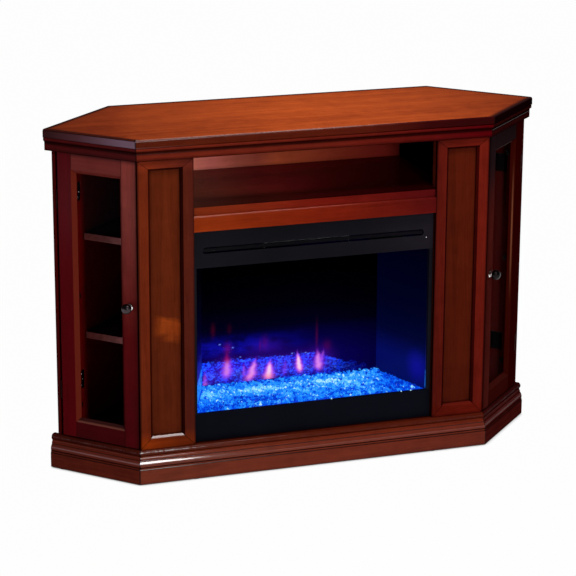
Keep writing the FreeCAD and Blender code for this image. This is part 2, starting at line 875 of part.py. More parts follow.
def make_knob(name, side):
    knob = new_body()
    centre = size.knob_centre
    neck = size.knob_neck
    ball_low = centre - root(size.knob_radius * size.knob_radius - neck * neck)
    points = [(0, 0), (size.knob_base_radius, 0), (size.knob_base_radius, size.knob_base_height),
              (neck, size.knob_base_height + size.knob_base_height), (neck, ball_low, size.knob_radius),
              (0, centre + size.knob_radius)]
    drawing = outline(knob, "XZ", points, 0)
    turn = knob.newObject("PartDesign::Revolution", "Revolution")
    turn.Profile = drawing
    turn.ReferenceAxis = (drawing, ["V_Axis"])
    turn.Angle = 360
    x, y = slant_point(side, lock_edge + size.stile_face / 2, 0)
    outward = Vector(side * HALF_ROOT2, -HALF_ROOT2, 0)
    place(knob, x, y, (door_low + door_high) / 2, Rotation(Vector(0, 0, 1), outward))
    keep(name + "knob", knob)


def door_leaf_plan():
    """The leaf that is let into the door's hinge edge and folded on to its back."""
    leaf = size.leaf
    thick = size.door_thickness
    return [(hinge_edge, size.barrel_depth), (hinge_edge, thick), (hinge_edge - size.door_leaf_length, thick),
            (hinge_edge - size.door_leaf_length, thick - leaf), (hinge_edge - leaf, thick - leaf),
            (hinge_edge - leaf, size.barrel_depth)]


def knuckle_levels(low):
    third = size.hinge_height / 3
    return low + third, low + 2 * third


def door_leaf(side, low):
    """One door leaf with the middle knuckle, bored to turn on the pin."""
    leaf = new_body()
    pad(leaf, "XY", mirrored(side, door_leaf_plan()), low, low + size.hinge_height)
    first, second = knuckle_levels(low)
    centre = (side * barrel_x, size.barrel_depth)
    web = rectangle(hinge_edge - size.leaf, barrel_x, size.barrel_depth, size.barrel_depth + size.barrel_radius)
    pad(leaf, "XY", mirrored(side, web), first, second)
    round_pad(leaf, "XY", centre, size.barrel_radius, first, second)
    round_pocket(leaf, "XY", centre, size.pin_radius + size.pin_clearance, first, second)
    return on_slant(leaf, side)


def fixed_plate(side, low):
    """The plate folded round the rear panel's rebate, with the outer knuckles and the pin."""
    plate = new_body()
    leaf = size.leaf
    lip = slant_length - size.rear_panel_lip
    shoulder = size.rear_panel_rebate
    depth = size.barrel_depth
    plan = [(lip, depth), (lip, shoulder), (panel_in, shoulder), (panel_in, shoulder + size.plate_length),
            (panel_in - leaf, shoulder + size.plate_length), (panel_in - leaf, shoulder - leaf),
            (lip - leaf, shoulder - leaf), (lip - leaf, depth)]
    high = low + size.hinge_height
    pad(plate, "XY", mirrored(side, plan), low, high)
    first, second = knuckle_levels(low)
    gap = size.knuckle_clearance
    centre = (side * barrel_x, depth)
    web = rectangle(barrel_x, lip, depth, depth + size.barrel_radius)
    for start, end in ((low, first - gap), (second + gap, high)):
        pad(plate, "XY", mirrored(side, web), start, end)
        round_pad(plate, "XY", centre, size.barrel_radius, start, end)
    clear = rectangle(barrel_x, lip + size.fit, depth - size.fit, depth + size.barrel_radius + size.fit)
    pocket(plate, "XY", mirrored(side, clear), first - gap, second + gap)
    round_pad(plate, "XY", centre, size.pin_radius, low, high)
    return on_slant(plate, side)


def make_doors():
    catches = []
    for word, side in SIDES.items():
        make_door(word, side)
        group(word + "_hinge_plates", [fixed_plate(side, low) for low in hinge_levels])
        near = size.door_thickness + size.strike_sheet + size.catch_gap
        low, high = span(side, size.catch_start, size.catch_start + size.catch_length)
        catch = prism("XY", rectangle(low, high, near, near + size.catch_depth),
                      body_top - size.catch_height, body_top)
        catches.append(on_slant(catch, side))
    group("door_catches", catches)


# Firebox, standing on the deck between the pilasters
firebox_face = face_y + size.firebox_setback
bezel_back = firebox_face + size.bezel_sheet
case_half = opening - size.fit
case_bottom = body_bottom
case_top = fascia_bottom - size.fit
window = case_half - size.trim_width
window_top = case_top - size.header_height
tray_top = size.window_bottom - size.tray_drop
glass_front = firebox_face + size.trim_return
glass_back = glass_front + size.glass_thickness
case_in = case_half - size.case_sheet
screen_front = glass_back + size.chamber_depth
screen_back = screen_front + size.screen_thickness
screen_half = window - size.screen_inset
case_back = screen_back + size.works_depth
ceiling_top = window_top + size.liner_sheet
gland_x = case_half - size.gland_inset


def make_firebox_front():
    header = prism("XZ", rectangle(-case_half, case_half, window_top, case_top), firebox_face, bezel_back)
    half = case_half - size.outlet_inset
    corner = size.outlet_end_round
    high = case_top - size.outlet_drop
    low = high - size.outlet_height
    slot = [(-half + corner, low), (half - corner, low, corner), (half, low + corner),
            (half, high - corner, corner), (half - corner, high), (-half + corner, high, corner),
            (-half, high - corner), (-half, low + corner, corner)]
    pocket(header, "XZ", slot, firebox_face - MARGIN, bezel_back + MARGIN)
    keep("firebox_header", header)
    reach = half + size.louvre_overlap
    near = bezel_back + size.louvre_behind
    far = near + size.louvre_depth
    foot = low + size.louvre_foot
    crest = foot + size.louvre_rise
    lean = near + size.louvre_lean
    section = [(near, foot), (near + size.louvre_sheet, foot), (lean + size.louvre_sheet, crest), (lean, crest)]
    blades = [prism("YZ", section, -reach, reach)]
    for side in SIDES.values():
        start, end = span(side, reach, reach + size.louvre_sheet)
        blades.append(block(start, end, bezel_back, far, low, high))
    group("heat_louvre", blades)
    sheet = size.bezel_sheet
    trims = []
    for side in SIDES.values():
        plan = [(window, firebox_face), (case_half, firebox_face), (case_half, bezel_back),
                (window + sheet, bezel_back), (window + sheet, glass_front), (window, glass_front)]
        trims.append(prism("XY", mirrored(side, plan), size.window_bottom, window_top))
    group("firebox_side_trims", trims)
    lip = firebox_face + size.apron_lip
    top = size.window_bottom
    apron = prism("YZ", rectangle(firebox_face, bezel_back, case_bottom, top), -case_half, case_half)
    pad(apron, "YZ", rectangle(firebox_face, lip, top - sheet, top), -window, window)
    keep("firebox_apron", apron)
    pane = window + size.pane_edge
    keep("firebox_glass", block(-pane, pane, glass_front, glass_back, top - size.pane_edge,
                                window_top))


def make_firebox_case():
    sheet = size.case_sheet
    panels = []
    for side in SIDES.values():
        low, high = span(side, case_in, case_half)
        panels.append(block(low, high, bezel_back, case_back, case_bottom, case_top))
    for level in (case_bottom, case_top - sheet):
        panels.append(block(-case_in, case_in, bezel_back, case_back, level, level + sheet))
    plate = rectangle(-case_in, case_in, case_bottom + sheet, case_top - sheet)
    back = prism("XZ", plate, case_back - sheet, case_back)
    slots = int(size.vent_count.value)
    vent_low = window_top - size.vent_drop
    for row in range(slots):
        middle = size.vent_pitch * (row - (slots - 1) / 2)
        slot = rectangle(middle - size.vent_width / 2, middle + size.vent_width / 2, vent_low,
                         vent_low + size.vent_height)
        pocket(back, "XZ", slot, case_back - sheet - MARGIN, case_back + MARGIN)
    hole_level = case_bottom + size.gland_height
    hole = size.gland_body_radius + size.gland_clearance
    round_pocket(back, "XZ", (gland_x, hole_level), hole, case_back - sheet - MARGIN, case_back + MARGIN)
    panels.append(back)
    group("firebox_case", panels)
    tray = block(-case_in, case_in, bezel_back, case_back - sheet, tray_top - sheet, tray_top)
    keep("ember_tray", tray)


def make_chamber():
    sheet = size.liner_sheet
    front_x = window + sheet
    liners = []
    for side in SIDES.values():
        plan = [(front_x, glass_back), (front_x + sheet, glass_back), (screen_half + sheet, screen_back),
                (screen_half, screen_back)]
        liners.append(prism("XY", mirrored(side, plan), tray_top, window_top))
    liners.append(block(-case_in, case_in, glass_front, screen_back, window_top, ceiling_top))
    group("firebox_liners", liners)
    half = screen_half
    keep("flame_screen", block(-half, half, screen_front, screen_back, tray_top, window_top))
    bed = new_body()
    low = tray_top
    section = [(glass_back, low), (screen_front, low), (screen_front, low + size.bed_back_height),
               (glass_back, low + size.bed_front_height)]
    pad(bed, "YZ", section, -front_x, front_x)
    slope = (front_x - screen_half) / (screen_back - glass_back)
    end_x = front_x - slope * (screen_front - glass_back)
    wedge = [(front_x, glass_back), (front_x + MARGIN, glass_back), (front_x + MARGIN, screen_front),
             (end_x, screen_front)]
    for side in SIDES.values():
        pocket(bed, "XY", mirrored(side, wedge), low - MARGIN, low + size.bed_back_height + MARGIN)
    keep("glass_bed", bed)
    led_half = screen_half - size.led_inset
    led_back = screen_back + size.led_width
    keep("led_bar", block(-led_half, led_half, screen_back, led_back, low, low + size.led_height))


rotor_y = screen_back + size.rotor_behind_screen
rotor_z = tray_top + size.rotor_above_tray
rotor_half = screen_half - size.rotor_inset
blower_y = firebox_face + size.blower_behind_face
blower_z = (ceiling_top + case_top - size.case_sheet) / 2
wheel_half = size.wheel_length / 2
housing_in = wheel_half + size.housing_end_gap
housing_out = housing_in + size.housing_sheet


def linear_pattern(body, feature, pitch, count):
    pattern = body.newObject("PartDesign::LinearPattern", "LinearPattern")
    pattern.Originals = [feature]
    pattern.Direction = (origin_feature(body, "X_Axis"), [""])
    bind(pattern, "Length", pitch * (count - 1))
    pattern.Occurrences = count
    body.Tip = pattern
    doc.recompute()
    return pattern


def make_flame_rotor():
    rotor = new_body()
    round_pad(rotor, "YZ", (0, 0), size.shaft_radius, -rotor_half, rotor_half)
    rows = int(size.flag_rows.value)
    start = size.flag_margin - rotor_half
    pitch = 2 * (rotor_half - size.flag_margin) / size.flag_rows
    flag_length = pitch * size.flag_share
    half_sheet = size.flag_sheet / 2
    for plane, shift in (("XZ", 0), ("XY", pitch / 2)):
        low = start + shift
        flag = pad(rotor, plane, rectangle(low, low + flag_length, -size.flag_radius, size.flag_radius),
                   -half_sheet, half_sheet)
        linear_pattern(rotor, flag, pitch, rows)
    keep("flame_rotor", place(rotor, 0, rotor_y, rotor_z))


def make_blower_wheel():
    wheel = new_body()
    end = housing_out + size.bearing_plate
    round_pad(wheel, "YZ", (0, 0), size.shaft_radius, -end, end)
    for low in (-wheel_half, wheel_half - size.wheel_disc):
        round_pad(wheel, "YZ", (0, 0), size.wheel_radius, low, low + size.wheel_disc)
    inner = size.wheel_radius - size.blade_length
    half_sheet = size.blade_sheet / 2
    lean = size.blade_length / 2
    section = [(inner, -half_sheet), (size.wheel_radius - size.blade_sheet, lean - half_sheet),
               (size.wheel_radius - size.blade_sheet, lean + half_sheet), (inner, half_sheet)]
    blade = pad(wheel, "YZ", section, -wheel_half, wheel_half)
    ring = wheel.newObject("PartDesign::PolarPattern", "PolarPattern")
    ring.Originals = [blade]
    ring.Axis = (origin_feature(wheel, "X_Axis"), [""])
    ring.Angle = 360
    bind(ring, "Occurrences", size.blade_count)
    wheel.Tip = ring
    doc.recompute()
    keep("blower_wheel", place(wheel, 0, blower_y, blower_z))


def bored_plate(plane_low, plane_high, points, centre, bore):
    plate = prism("YZ", points, plane_low, plane_high)
    round_pocket(plate, "YZ", centre, bore, plane_low - MARGIN, plane_high + MARGIN)
    return plate


def make_drives():
    """Both motors, the brackets and the blower's housing."""
    bore = size.shaft_radius + size.shaft_clearance
    motors = []
    stand = rectangle(rotor_y - size.bearing_width / 2, rotor_y + size.bearing_width / 2, tray_top,
                      rotor_z + size.bearing_width / 2)
    plate_low = rotor_half - size.bearing_plate
    motor = prism("YZ", stand, plate_low, rotor_half)
    round_pad(motor, "YZ", (rotor_y, rotor_z), size.motor_radius, rotor_half, rotor_half + size.motor_length)
    round_pocket(motor, "YZ", (rotor_y, rotor_z), bore, plate_low, rotor_half)
    motors.append(motor)
    shaft_end = housing_out + size.bearing_plate
    drive = new_body()
    round_pad(drive, "YZ", (blower_y, blower_z), size.blower_motor_radius, housing_out,
              housing_out + size.blower_motor_length)
    round_pocket(drive, "YZ", (blower_y, blower_z), bore, housing_out, shaft_end)
    motors.append(drive)
    group("drive_motors", motors)
    low, high = ceiling_top, case_top - size.case_sheet
    near, far = blower_y - size.housing_front, blower_y + size.housing_back
    ends = rectangle(near, far, low, high)
    housing = []
    for side in SIDES.values():
        start, end = span(side, housing_in, housing_out)
        housing.append(bored_plate(start, end, ends, (blower_y, blower_z), bore))
    scroll = size.scroll_radius
    sheet = size.housing_sheet
    section = [(blower_y, blower_z - scroll, scroll), (blower_y + scroll, blower_z, scroll),
               (blower_y, blower_z + scroll), (blower_y, blower_z + scroll + sheet, -(scroll + sheet)),
               (blower_y + scroll + sheet, blower_z, -(scroll + sheet)), (blower_y, blower_z - scroll - sheet)]
    housing.append(prism("YZ", section, -housing_in, housing_in))
    group("blower_housing", housing)
    brackets = [bored_plate(-rotor_half, -rotor_half + size.bearing_plate, stand, (rotor_y, rotor_z), bore)]
    leg = size.bracket_leg
    thick = size.bezel_sheet
    section = [(case_back, body_bottom), (case_back + leg, body_bottom), (case_back + leg, body_bottom + thick),
               (case_back + thick, body_bottom + thick), (case_back + thick, body_bottom + leg),
               (case_back, body_bottom + leg)]
    for side in SIDES.values():
        middle = side * (case_half - size.bracket_inset) - size.bracket_width / 2
        brackets.append(prism("YZ", section, middle, middle + size.bracket_width))
    group("firebox_brackets", brackets)


def make_heater():
    near = blower_y - size.heater_front
    low = blower_z - size.heater_height / 2
    heater = prism("XZ", rectangle(-housing_in, housing_in, low, low + size.heater_height), near,
                   near + size.heater_depth)
    count = int(2 * (housing_in.value - size.fin_pitch.value) / size.fin_pitch.value)
    start = -size.fin_pitch * (count / 2)
    high = low + size.heater_height
    gap = rectangle(start, start + size.fin_gap, low - MARGIN, high + MARGIN)
    groove = pocket(heater, "XZ", gap, near - MARGIN, near + size.fin_depth)
    linear_pattern(heater, groove, size.fin_pitch, count)
    keep("heater_element", heater)


def make_electrics():
    board = new_body()
    high_x = case_in - size.pcb_inset
    low_x = high_x - size.pcb_length
    low_y = firebox_face + size.pcb_front
    high_y = low_y + size.pcb_width
    base = ceiling_top + size.pcb_post
    top = base + size.pcb_thickness
    pad(board, "XY", rectangle(low_x, high_x, low_y, high_y), base, top)
    inset = size.pcb_post
    for x in (low_x + inset, high_x - inset):
        for y in (low_y + inset, high_y - inset):
            round_pad(board, "XY", (x, y), size.pcb_post / 2, ceiling_top, base)
    relay = size.relay_size
    middle = (low_y + high_y) / 2
    for start in (low_x + 2 * inset, high_x - 2 * inset - relay):
        plan = rectangle(start, start + relay, middle - relay / 2, middle + relay / 2)
        pad(board, "XY", plan, top, top + relay)
    keep("control_board", board)
    gland = new_body()
    level = case_bottom + size.gland_height
    spot = (gland_x, level)
    round_pad(gland, "XZ", spot, size.gland_radius, case_back, case_back + size.gland_flange)
    inner_end = case_back + size.gland_flange - size.gland_length
    round_pad(gland, "XZ", spot, size.gland_body_radius, inner_end, case_back)
    round_pocket(gland, "XZ", spot, size.gland_bore, case_back - size.gland_length - MARGIN,
                 case_back + size.gland_flange + MARGIN)
    keep("cord_gland", gland)


def check_and_write():
    doc.recompute()
    for thing in doc.Objects:
        faults = [word for word in thing.State if word in ("Invalid", "Error")]
        if faults:
            raise ValueError("%s (%s) is %s" % (thing.Name, thing.Label, faults))
    os.makedirs("parts", exist_ok=True)
    for node in nodes:
        if node.Shape.isNull() or not node.Shape.isValid():
            raise ValueError(node.Label + " has no valid shape")
    for node in nodes:
        node.Shape.exportStep(os.path.join("parts", node.Label + ".step"))
        print("%-26s %d solids" % (node.Label, len(node.Shape.Solids)))
    print(len(nodes), "nodes")


make_top()
make_moulding("cornice", cornice_profile())
make_moulding("plinth", plinth_profile())
make_base()
make_uprights()
make_pilasters()
make_media_bay()
make_cabinet_shelves()
make_doors()
make_firebox_front()
make_firebox_case()
make_chamber()
make_flame_rotor()
make_blower_wheel()
make_drives()
make_heater()
make_electrics()
check_and_write()
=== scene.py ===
import functools
import math
import random

import bmesh
import bpy
from mathutils import Euler, Matrix, Vector, noise


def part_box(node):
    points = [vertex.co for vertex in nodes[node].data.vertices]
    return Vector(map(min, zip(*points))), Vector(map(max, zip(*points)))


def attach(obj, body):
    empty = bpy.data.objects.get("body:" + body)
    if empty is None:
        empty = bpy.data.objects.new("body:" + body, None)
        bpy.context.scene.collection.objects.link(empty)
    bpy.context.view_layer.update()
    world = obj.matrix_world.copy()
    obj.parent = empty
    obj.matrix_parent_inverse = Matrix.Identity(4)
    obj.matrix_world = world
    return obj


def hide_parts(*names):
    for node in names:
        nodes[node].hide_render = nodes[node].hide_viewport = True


# Electric fireplace mantel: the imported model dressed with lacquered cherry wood, a firebox of satin black
# steel, a lit bed of crushed glass and flames on the mirror screen. Metres, in the model's own frame.

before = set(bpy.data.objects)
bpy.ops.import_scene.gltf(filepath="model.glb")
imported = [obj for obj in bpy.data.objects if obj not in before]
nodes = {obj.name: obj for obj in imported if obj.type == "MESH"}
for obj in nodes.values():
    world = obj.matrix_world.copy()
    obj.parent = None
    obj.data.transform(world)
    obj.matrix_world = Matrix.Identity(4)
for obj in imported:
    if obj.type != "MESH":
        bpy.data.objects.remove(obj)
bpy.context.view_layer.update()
scene = bpy.context.scene
scene.view_settings.view_transform = "Standard"

SEED = 7
COS_45 = 0.70711
X, Y, Z = 0, 1, 2

# the photograph's camera: place, viewing angles in degrees, lens and sensor in mm, and frame shift
CAMERA_PLACE = (-1.534869, -4.673168, 1.91048)
CAMERA_AZIMUTH, CAMERA_ELEVATION, CAMERA_ROLL = -18.122, 14.838, 0.288
CAMERA_LENS, CAMERA_SENSOR = 132.589, 36.0
CAMERA_SHIFT = (-0.0069, -0.1528)

# mitred pilaster frames: inner and outer edge, bottom and top, width of their members and of the top rail
FRAME_IN, FRAME_OUT = 0.297, 0.4292
FRAME_LOW, FRAME_HIGH = 0.082, 0.774
FRAME_WIDE, FRAME_TOP = 0.03, 0.025

# corner where a slanted side starts, and the places along a slant where the door rails meet the stiles
SLANT_X, SLANT_Y = 0.4292, -0.1735
DOOR_JOINTS = (0.042, 0.176)

# tones: no change, dark glaze in joints and painted shade in creases, nearly black arrises
EVEN = (1.0, 1.0, 1.0)
GLAZE_AND_SHADE = (0.012, 0.002, 0.002)
ARRIS = (0.015, 0.002, 0.002)


def add_object(name, data):
    thing = bpy.data.objects.new(name, data)
    scene.collection.objects.link(thing)
    return thing


def make_camera():
    data = bpy.data.cameras.new("camera")
    data.lens = CAMERA_LENS
    data.sensor_width = CAMERA_SENSOR
    data.shift_x, data.shift_y = CAMERA_SHIFT
    camera = add_object("camera", data)
    azimuth, elevation, roll = (math.radians(v) for v in (CAMERA_AZIMUTH, CAMERA_ELEVATION, CAMERA_ROLL))
    back = Vector((math.sin(azimuth) * math.cos(elevation), -math.cos(azimuth) * math.cos(elevation),
                   math.sin(elevation)))
    right = Vector((math.cos(azimuth), math.sin(azimuth), 0.0))
    up = back.cross(right)
    across = right * math.cos(roll) + up * math.sin(roll)
    upward = up * math.cos(roll) - right * math.sin(roll)
    turn = Matrix((across, upward, back)).transposed().to_4x4()
    camera.matrix_world = Matrix.Translation(CAMERA_PLACE) @ turn
    scene.camera = camera


# Shader helpers

class Value:
    """An output of a material's nodes. Arithmetic on it adds the nodes that this takes."""

    def __init__(self, mat, socket):
        self.mat = mat
        self.socket = socket

    def __add__(self, other):
        return self.mat.math("ADD", self, other)

    def __sub__(self, other):
        return self.mat.math("SUBTRACT", self, other)

    def __rsub__(self, other):
        return self.mat.math("SUBTRACT", other, self)

    def __mul__(self, other):
        return self.mat.math("MULTIPLY", self, other)

    def __truediv__(self, other):
        return self.mat.math("DIVIDE", self, other)

    def __abs__(self):
        return self.mat.math("ABSOLUTE", self)

    def step(self, low, high):
        """How far the value has come from low to high, kept to 0..1."""
        return self.mat.get("MapRange", "Result", From_Min=low, From_Max=high, Value=self)

    def window(self, rise, fall):
        """1 between two places, with a soft rise and a soft fall."""
        return self.step(*rise) * self.step(*fall)

    def spread(self, low, high):
        """Map 0..1 on to low..high."""
        return self * (high - low) + low

    def ramp(self, *stops):
        """Pairs of a place from 0 to 1 and the tone or level there."""
        node = self.mat.add("ValToRGB", Fac=self)
        elements = node.color_ramp.elements
        while len(elements) < len(stops):
            elements.new(1.0)
        for element, (position, tone) in zip(elements, stops):
            element.position = position
            element.color = (*tone, 1.0) if isinstance(tone, tuple) else (tone, tone, tone, 1.0)
        return Value(self.mat, node.outputs["Color"])

    def to(self, other, share):
        """This colour with a share of another."""
        return self.mat.mix(share, self, other)

    def toned(self, tone):
        return self.mat.mix(1.0, self, tone, "MULTIPLY")


class Surface:
    """A new material and short ways to add and join its nodes."""

    def __init__(self, name):
        self.material = bpy.data.materials.new(name)
        self.material.use_nodes = True
        self.tree = self.material.node_tree
        self.tree.nodes.clear()

    def add(self, kind, **inputs):
        node = self.tree.nodes.new("ShaderNode" + kind)
        for key, value in inputs.items():
            self.put(node.inputs[key.replace("_", " ")], value)
        return node

    def get(self, kind, output, **inputs):
        return Value(self, self.add(kind, **inputs).outputs[output])

    def put(self, socket, value):
        if isinstance(value, Value):
            self.tree.links.new(value.socket, socket)
        elif isinstance(value, tuple) and len(value) == 3 and socket.type == "RGBA":
            socket.default_value = (*value, 1.0)
        else:
            socket.default_value = value

    def finish(self, node):
        self.tree.links.new(node.outputs[0], self.add("OutputMaterial").inputs["Surface"])
        return self.material

    def principled(self, **inputs):
        return self.finish(self.add("BsdfPrincipled", **inputs))

    def layered(self, share, first, second):
        """Finish with a share of the second shader over the first."""
        node = self.add("MixShader", Fac=share)
        for index, part in ((1, first), (2, second)):
            self.tree.links.new(part.outputs[0], node.inputs[index])
        return self.finish(node)

    @functools.cached_property
    def place(self):
        return self.get("TexCoord", "Object")

    @functools.cached_property
    def at(self):
        """The place as X, Y and Z."""
        return self.split(self.place)

    @functools.cached_property
    def normal(self):
        return self.split(self.get("NewGeometry", "Normal"))

    def split(self, vector):
        node = self.add("SeparateXYZ", Vector=vector)
        return tuple(Value(self, socket) for socket in node.outputs)

    def mapped(self, vector, scale=(1, 1, 1), turn=(0, 0, 0), move=(0, 0, 0)):
        return self.get("Mapping", "Vector", Location=move, Rotation=turn, Scale=scale, Vector=vector)

    def noise(self, vector, scale, detail, roughness=0.55, distortion=0.0):
        return self.get("TexNoise", "Fac", Scale=scale, Detail=detail, Roughness=roughness,
                        Distortion=distortion, Vector=vector)

    def math(self, operation, first, second=None, clamp=False):
        node = self.add("Math")
        node.operation = operation
        node.use_clamp = clamp
        for socket, value in zip(node.inputs, (first, second)):
            if value is not None:
                self.put(socket, value)
        return Value(self, node.outputs["Value"])

    def mix(self, factor, first, second, blend="MIX", data="RGBA"):
        node = self.add("Mix")
        node.data_type = data
        node.blend_type = blend
        start, result = (6, 2) if data == "RGBA" else (4, 1)
        for index, value in ((0, factor), (start, first), (start + 1, second)):
            self.put(node.inputs[index], value)
        return Value(self, node.outputs[result])

    def bump(self, height, strength, distance):
        return self.get("Bump", "Normal", Strength=strength, Distance=distance, Height=height)

    def openness(self, reach):
        """1 where nothing is within reach, less in corners."""
        node = self.add("AmbientOcclusion", Distance=reach)
        node.samples = 8
        return Value(self, node.outputs["AO"])

    def attribute(self, name, output):
        node = self.add("Attribute")
        node.attribute_name = name
        return Value(self, node.outputs[output])

    def spot(self, centre, radii):
        """A soft round spot: 1 in the middle, 0 at the radii. An axis without a radius doesn't count."""
        total = None
        for value, middle, radius in zip(self.at, centre, radii):
            if radius is None:
                continue
            part = self.math("POWER", (value - middle) / radius, 2.0)
            total = part if total is None else total + part
        return self.math("POWER", self.math("SUBTRACT", 1.0, total, clamp=True), 2.0)


# Wood

GRAIN_TURNS = {
    "x": (0.0, 0.0, 0.0),
    "z": (0.0, math.radians(90.0), 0.0),
    "right": (0.0, 0.0, math.radians(-45.0)),
    "left": (0.0, 0.0, math.radians(45.0)),
}
# how far the grain is drawn out, and the scales of its bands, streaks, fibres, mottling and of the haze
GRAIN_STRETCH = 0.055
BANDS, STREAKY, FIBROUS, MOTTLED, HAZY = 9.0, 58.0, 420.0, 26.0, 9.0
# shares of the bands, streaks and mottling in the tone, and how far it goes to the dark and to the light
BAND_SHARE, STREAK_SHARE, MOTTLE_SHARE = 0.42, 0.36, 0.22
DARKER, LIGHTER = (0.42, 0.52, 0.5), (0.34, 0.46, 0.4)
# mitre lines of the frames: where they end inwards, and their width; slope of the corners' mitres
MITRE_END, MITRE_WIDE = 1.02, 0.055
MITRE_SLOPE = math.tan(math.radians(22.5))


def frame_rails(mat):
    """Masks of a mitred pilaster frame: its rails, and the fine lines of its four mitres."""
    x, _, z = mat.at
    across = abs(x)
    side = mat.math("MINIMUM", (across - FRAME_IN) / FRAME_WIDE, (FRAME_OUT - across) / FRAME_WIDE)
    end = mat.math("MINIMUM", (FRAME_HIGH - z) / FRAME_TOP, (z - FRAME_LOW) / FRAME_WIDE)
    apart = abs(end - side) / MITRE_WIDE
    lines = mat.math("SUBTRACT", 1.0, apart, clamp=True) * mat.math("LESS_THAN", end, MITRE_END)
    return mat.math("LESS_THAN", end, side), lines


def cherry(name, grain, mid, shine=0.03, rim=0.45, top=0.03, shift=0.0, figure=1.0, frame_of=False,
           corner_shade=0.8, reach=0.012, tints=(), rough=(0.16, 0.24), gloss=None):
    """Lacquered cherry with its grain along 'x', 'z', 'left' or 'right'.

    shine, rim and top are the specular levels of upright faces, of arrises that look up and of level faces;
    arrises that look down have none. Painted shade darkens corners within reach; its argument sets how much.
    Each tint turns the colour into another; gloss does the same with the specular level.
    """
    mat = Surface("cherry_" + name)
    vector = mat.mapped(mat.place, turn=GRAIN_TURNS[grain])
    lines = None
    if frame_of:
        rails, lines = frame_rails(mat)
        vector = mat.mix(rails, vector, mat.mapped(mat.place, turn=GRAIN_TURNS["x"]), data="VECTOR")
    along = mat.mapped(vector, scale=(GRAIN_STRETCH, 1.0, 1.0), move=(shift, shift * 0.7, shift * 1.3))
    bands = mat.noise(along, BANDS, 3.0, distortion=0.5)
    streaks = mat.noise(along, STREAKY, 6.0, roughness=0.62, distortion=1.0)
    fibre = mat.noise(along, FIBROUS, 3.0, roughness=0.6)
    mottle = mat.noise(mat.place, MOTTLED, 3.0)
    value = bands * BAND_SHARE + streaks * STREAK_SHARE + mottle * MOTTLE_SHARE
    dark = tuple(c * (1 - f * figure) for c, f in zip(mid, DARKER))
    light = tuple(c * (1 + f * figure) for c, f in zip(mid, LIGHTER))
    colour = value.ramp((0.33, dark), (0.5, mid), (0.67, light))
    pores = fibre.ramp((0.36, (0.8, 0.76, 0.74)), (0.52, EVEN))
    colour = mat.mix(0.6 * figure, colour, pores, "MULTIPLY")
    for tint in tints:
        colour = tint(mat, colour)
    if lines is not None:
        colour = colour.to(ARRIS, lines * 0.85)
    # painted shade in corners and recesses
    if corner_shade:
        colour = colour.toned(mat.openness(reach).ramp((0.3, 1.0 - corner_shade), (0.85, 1.0)))
    level = 0.0
    if max(shine, rim, top) > 0.0:
        tilt = mat.normal[Z].step(-1.0, 1.0)
        level = tilt.ramp((0.0, 0.0), (0.4, 0.0), (0.44, shine), (0.56, shine), (0.62, rim), (0.965, rim),
                          (0.9975, top))
    if gloss:
        level = gloss(mat, level)
    haze = mat.noise(mat.place, HAZY, 3.0)
    relief = mat.bump(fibre + streaks * 0.4, 0.04, 0.0005)
    return mat.principled(Specular_IOR_Level=level, Base_Color=colour, Roughness=haze.spread(*rough),
                          Normal=relief)


def by_place(axis, *stops):
    """Tones that change along an axis: pairs of a place and a factor per channel."""
    first, last = stops[0][0], stops[-1][0]
    shares = [((place - first) / (last - first), tone) for place, tone in stops]

    def tint(mat, colour):
        return colour.toned(mat.at[axis].step(first, last).ramp(*shares))
    return tint


def looks_up(mat):
    return mat.normal[Z].step(0.35, 0.8)


def mitre_tint(mat, colour):
    """A fine dark line down the corners between the front and the slanted sides."""
    x, y, _ = mat.at
    off = abs(x) - SLANT_X - (SLANT_Y - y) * MITRE_SLOPE
    return colour.to(GLAZE_AND_SHADE, abs(off).step(0.0028, 0.001) * 0.75)


# painted light and reflection on the slab: tones of its top across its width, of its front edge and of its
# left edge
SLAB_TOP_LIGHT = ((0.0, (0.5, 0.4, 0.36)), (0.16, (0.66, 0.56, 0.55)), (0.2, (0.84, 0.8, 0.8)),
            (0.5, (1.06, 1.06, 1.0)), (0.75, (0.95, 0.93, 0.95)), (1.0, (0.6, 0.46, 0.44)))
SLAB_FRONT_LIGHT = ((0.0, (0.35, 0.27, 0.36)), (0.6, (0.31, 0.2, 0.38)), (0.8, (0.11, 0.015, 0.11)),
              (1.0, (0.09, 0.01, 0.11)))
SLAB_LEFT_SHEEN = ((0.0, (0.08, 0.016, 0.015)), (0.35, (0.18, 0.056, 0.072)), (0.6, (0.27, 0.125, 0.168)),
             (0.9, (0.42, 0.24, 0.33)))
# dark rim along the slab's outline: where it starts to fade and ends, and its tone
SLAB_RIM, SLAB_RIM_TONE = (0.005, 0.017), (0.03, 0.004, 0.003)


